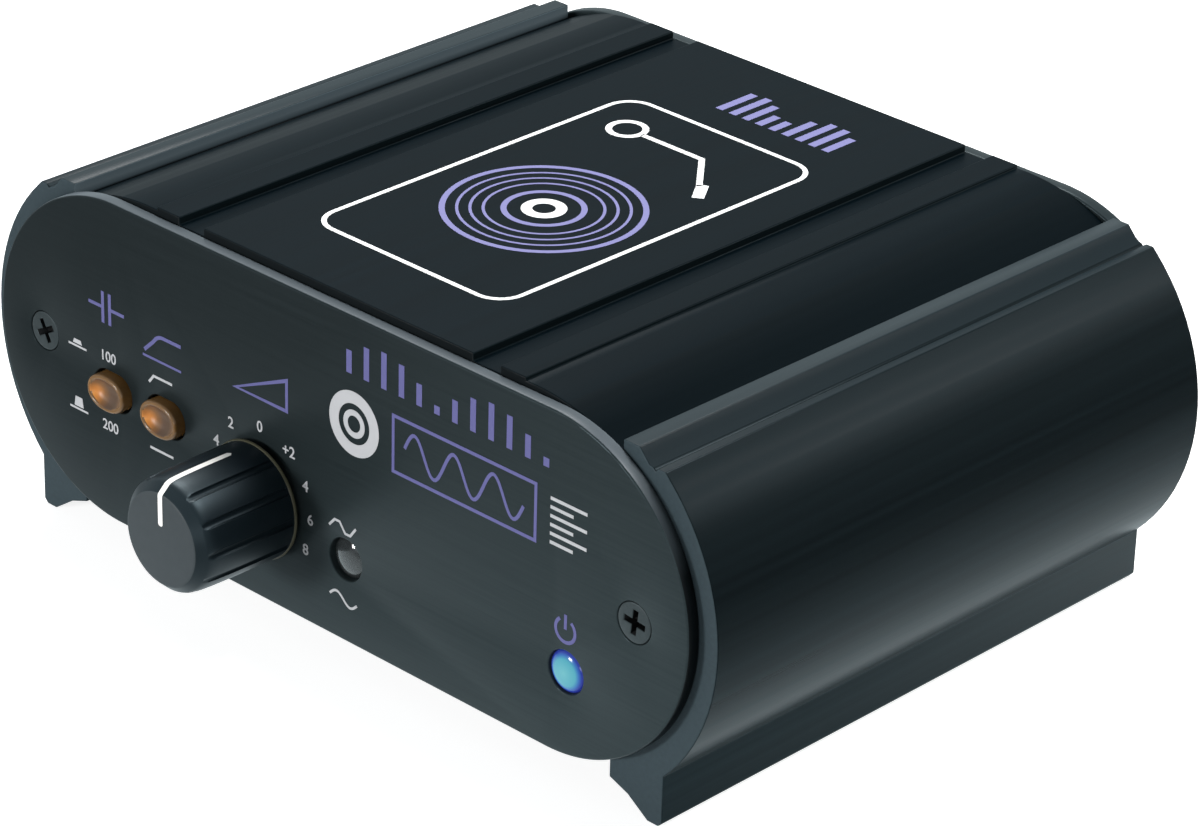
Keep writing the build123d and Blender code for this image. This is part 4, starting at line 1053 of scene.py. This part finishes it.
# CAD nodes shown as joined-up copies: node, piece, finish, eased edge in millimetres, body.
SMOOTHED = (
    ("socket_shells", "socket_barrels", nickel, 0.06, "case"),
    ("socket_contacts", "socket_centre_contacts", nickel, 0.03, "case"),
    ("left_socket_insulators", "left_channel_rings", moulded_white, 0.05, "case"),
    ("right_socket_insulators", "right_channel_rings", moulded_red, 0.05, "case"),
    ("input_socket_block", "input_jack_block", moulded_black, 0.1, "case"),
    ("output_socket_block", "output_jack_block", moulded_black, 0.1, "case"),
    ("socket_block_screws", "jack_block_screws", black_oxide, 0.05, "case"),
    ("power_inlet_body", "power_jack", moulded_black, 0.08, "case"),
    ("power_inlet_pin", "power_jack_pin", nickel, 0.1, "case"),
    ("ground_stud", "ground_post", nickel, 0.05, "case"),
    ("ground_stud_nut", "ground_post_nut", nickel, 0.08, "case"),
    ("ground_lug", "ground_tag", zinc, 0.04, "case"),
    ("gain_pot_nut", "control_nut", zinc, 0.08, "case"),
    ("gain_pot_washer", "control_washer", zinc, 0.03, "case"),
    ("gain_pot_bush", "control_bush", nickel, 0.05, "case"),
    ("gain_pot_housing", "control_body", moulded_black, 0.08, "case"),
    ("main_board", "main_circuit_board", board_green, 0.0, "case"),
    ("switch_board", "switch_circuit_board", board_green, 0.0, "case"),
    ("input_cap_switch", "input_cap_switch_body", moulded_black, 0.08, "case"),
    ("filter_switch", "filter_switch_body", moulded_black, 0.08, "case"),
    ("small_electrolytics", "small_cans", sleeve_dark, 0.12, "case"),
    ("filter_electrolytics", "large_cans", sleeve_dark, 0.2, "case"),
    ("film_capacitors", "film_boxes", film_red, 0.12, "case"),
    ("resistors", "resistor_bodies", enamel_blue, 0.1, "case"),
    ("rectifier_diodes", "diode_bodies", diode_black, 0.1, "case"),
    ("amplifier_chips", "chip_bodies", chip_black, 0.08, "case"),
    ("voltage_regulators", "regulator_bodies", chip_black, 0.1, "case"),
    ("header_strip", "header_body", moulded_black, 0.06, "case"),
    ("ground_wire", "ground_lead", wire_green, 0.0, "case"),
    ("axial_leads", "component_leads", tin, 0.0, "case"),
    ("clip_led_leads", "clip_lamp_leads", tin, 0.0, "case"),
    ("power_led_leads", "power_lamp_leads", tin, 0.0, "case"),
    ("gain_pot_pins", "control_pins", tin, 0.0, "case"),
    ("switch_pins", "switch_legs", tin, 0.0, "case"),
    ("header_pins", "header_legs", tin, 0.0, "case"),
    ("socket_pins", "jack_pins", tin, 0.0, "case"),
    ("regulator_legs", "regulator_wires", tin, 0.0, "case"),
    ("ground_washer", "ground_clamp_washer", nickel, 0.06, "ground_clamp"),
    ("ground_thumb_nut", "ground_knurled_nut", nickel, 0.08, "thumb_nut"),
    ("gain_pot_shaft", "control_shaft", nickel, 0.1, "knob"),
    ("gain_pot_wiper", "control_wiper", moulded_black, 0.05, "knob"),
    ("input_cap_plunger", "input_cap_rod", moulded_white, 0.08, "input_cap_key"),
    ("filter_plunger", "filter_rod", moulded_white, 0.08, "filter_key"),
)
COILS = (
    ("input_cap_spring", "input_cap_coil", "input_cap_press"),
    ("filter_spring", "filter_coil", "filter_press"),
)


def paint_nodes():
    """Give every CAD node its finish."""
    finishes = [(mat, name) for mat, names in PAINTED for name in names]
    finishes += [(mat, node) for node, _, mat, _, _ in SMOOTHED]
    for mat, name in finishes:
        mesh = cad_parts[name].data
        mesh.materials.clear()
        mesh.materials.append(mat)


def smooth_nodes():
    """Small parts: joined triangles, smooth curves and eased edges."""
    for node, name, mat, ease, body in SMOOTHED:
        merged(node, name, body, [mat], ease)


def button_coils():
    """Springs behind the plungers, each with a mesh of its own."""
    for node, name, joint in COILS:
        coil = merged(node, name, "case", [spring_steel], 0.0)
        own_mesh(coil)


# ---------------------------------------------------------------- floor, light and camera

WHITE = (1.0, 1.0, 1.0, 1.0)
FLOOR_HALF, FLOOR_GREY, FLOOR_GLOW = 3.0, (0.6, 0.6, 0.6, 1.0), 0.85
MIRROR_CENTRE, MIRROR_NEAR, MIRROR_FAR = (0, 0.018, 0), (0.069, 1.3), (0.14, 0.45)
AMBIENT = 0.12
# Square soft lamps: name, place, aim, size, watts; metres.
LAMPS = (
    ("key_lamp", (-0.4, -1.12, 0.2), (0, -0.01, 0.02), 0.22, 11.0),
    ("top_lamp", (0.34, 0.27, 1.06), (0, -0.04, 0.02), 0.3, 11.0),
    ("side_lamp", (0.66, 0.73, 0.58), (0, 0, 0.02), 0.28, 2.5),
    ("rim_lamp", (-0.5, 0.34, 0.92), (-0.01, -0.05, 0.02), 0.36, 10.0),
    ("fill_lamp", (0.5, -0.9, 0.08), (0.03, -0.04, 0.01), 0.3, 2.2),
)
CAMERA_PLACE = (0.3428, -0.3577, 0.26965)
AZIMUTH, ELEVATION, ROLL = radians(43.401), radians(26.944), radians(1.592)
LENS_LENGTH = 142.7


def seen_rays(tree, path):
    """1 for what the camera, a mirror surface or clear plastic sees; 0 for light itself."""
    seen = path.outputs["Is Camera Ray"]
    for ray in ("Is Glossy Ray", "Is Transmission Ray"):
        either = new_node(tree, "Math", operation="MAXIMUM")
        tree.links.new(seen, either.inputs[0])
        tree.links.new(path.outputs[ray], either.inputs[1])
        seen = either.outputs["Value"]
    return seen


def cool_mirror(tree, path):
    """White to the camera, faintly blue in mirror surfaces."""
    tint = new_node(tree, "Mix", {"A": MIRROR_TINT, "B": WHITE}, data_type="RGBA")
    wire(tree, (path, "Is Camera Ray", tint, "Factor"))
    return tint.outputs["Result"]


def floor_white():
    """White floor that keeps the object's shadow; in mirror surfaces it fades with distance."""
    mat = bpy.data.materials.new("floor_white")
    mat.use_nodes = True
    tree = mat.node_tree
    tree.nodes.clear()
    path = new_node(tree, "LightPath")
    diffuse = new_node(tree, "BsdfDiffuse", {"Color": FLOOR_GREY})
    glow = new_node(tree, "Emission", {"Strength": FLOOR_GLOW})
    black = new_node(tree, "Emission", {"Strength": 0.0})
    pick = new_node(tree, "MixShader")
    total = new_node(tree, "AddShader")
    place = new_node(tree, "TexCoord")
    away = new_node(tree, "VectorMath", {1: MIRROR_CENTRE}, operation="DISTANCE")
    span = {"From Min": MIRROR_NEAR[0], "To Min": MIRROR_NEAR[1]}
    span |= {"From Max": MIRROR_FAR[0], "To Max": MIRROR_FAR[1]}
    fade = new_node(tree, "MapRange", span)
    mirrored = new_node(tree, "Emission", {"Color": MIRROR_TINT})
    seen = new_node(tree, "MixShader")
    out = new_node(tree, "OutputMaterial")
    tree.links.new(cool_mirror(tree, path), glow.inputs["Color"])
    tree.links.new(seen_rays(tree, path), pick.inputs["Fac"])
    wire(
        tree,
        (black, "Emission", pick, 1),
        (glow, "Emission", pick, 2),
        (diffuse, "BSDF", total, 0),
        (pick, "Shader", total, 1),
        (place, "Object", away, 0),
        (away, "Value", fade, "Value"),
        (fade, "Result", mirrored, "Strength"),
        (path, "Is Glossy Ray", seen, "Fac"),
        (total, "Shader", seen, 1),
        (mirrored, "Emission", seen, 2),
        (seen, "Shader", out, "Surface"),
    )
    return mat


def area_lamp(name, place, aim, size, power):
    """Square soft lamp that points at a place; metres and watts."""
    data = bpy.data.lights.new(name, "AREA")
    data.energy = power
    data.size = size
    obj = bpy.data.objects.new(name, data)
    obj.location = place
    obj.rotation_euler = (Vector(aim) - Vector(place)).to_track_quat("-Z", "Y").to_euler()
    bpy.context.scene.collection.objects.link(obj)
    return obj


def studio():
    """Floor and lamps."""
    bm = bmesh.new()
    bmesh.ops.create_grid(bm, x_segments=1, y_segments=1, size=FLOOR_HALF)
    mesh = bpy.data.meshes.new("floor")
    bm.to_mesh(mesh)
    bm.free()
    mesh.materials.append(floor_white())
    floor = bpy.data.objects.new("floor", mesh)
    bpy.context.scene.collection.objects.link(floor)
    lamps = [area_lamp(*row) for row in LAMPS]


def surround():
    """World: white behind the object and in what it mirrors, grey as a source of light."""
    world = bpy.data.worlds.new("studio_white")
    bpy.context.scene.world = world
    world.use_nodes = True
    tree = world.node_tree
    tree.nodes.clear()
    path = new_node(tree, "LightPath")
    strength = new_node(tree, "MapRange", {"To Min": AMBIENT, "To Max": 1.0})
    back = new_node(tree, "Background")
    out = new_node(tree, "OutputWorld")
    tree.links.new(seen_rays(tree, path), strength.inputs["Value"])
    tree.links.new(cool_mirror(tree, path), back.inputs["Color"])
    wire(tree, (strength, "Result", back, "Strength"), (back, "Background", out, "Surface"))


def camera():
    """Camera at the view that the object is judged from."""
    level = cos(ELEVATION)
    back = Vector((sin(AZIMUTH) * level, -cos(AZIMUTH) * level, sin(ELEVATION)))
    right = Vector((cos(AZIMUTH), sin(AZIMUTH), 0))
    up = back.cross(right)
    axis_x = cos(ROLL) * right + sin(ROLL) * up
    axis_y = -sin(ROLL) * right + cos(ROLL) * up
    turn = Matrix((axis_x, axis_y, back)).transposed().to_4x4()
    data = bpy.data.cameras.new("camera")
    data.lens = LENS_LENGTH
    data.sensor_width = 36
    data.clip_start = 0.01
    obj = bpy.data.objects.new("camera", data)
    obj.matrix_world = Matrix.Translation(CAMERA_PLACE) @ turn
    bpy.context.scene.collection.objects.link(obj)
    bpy.context.scene.camera = obj


# ---------------------------------------------------------------- build

paint_nodes()
case()
front_plate()
rear_plate()
plate_screws("front_screws", "front_plate_screws", FRONT_Y, 1)
plate_screws("rear_screws", "rear_plate_screws", REAR_Y, -1)
knob()
knob_pointer()
push_button("input_cap_key", "input_cap_button", BUTTON_X[0], "input_cap_key")
push_button("filter_key", "filter_button", BUTTON_X[1], "filter_key")
lamp("clip_lamp", "clip_led", CLIP_LED_X, smoky_clear, -0.15)
lamp("power_lamp", "power_led", POWER_LED_X, lens_lit, 0.3)
front_symbols()
front_numbers()
panel_drawing()
panel_disc()
top_drawing()
rear_signs()
smooth_nodes()
button_coils()

studio()
surround()
camera()
bpy.context.scene.view_settings.view_transform = "Standard"
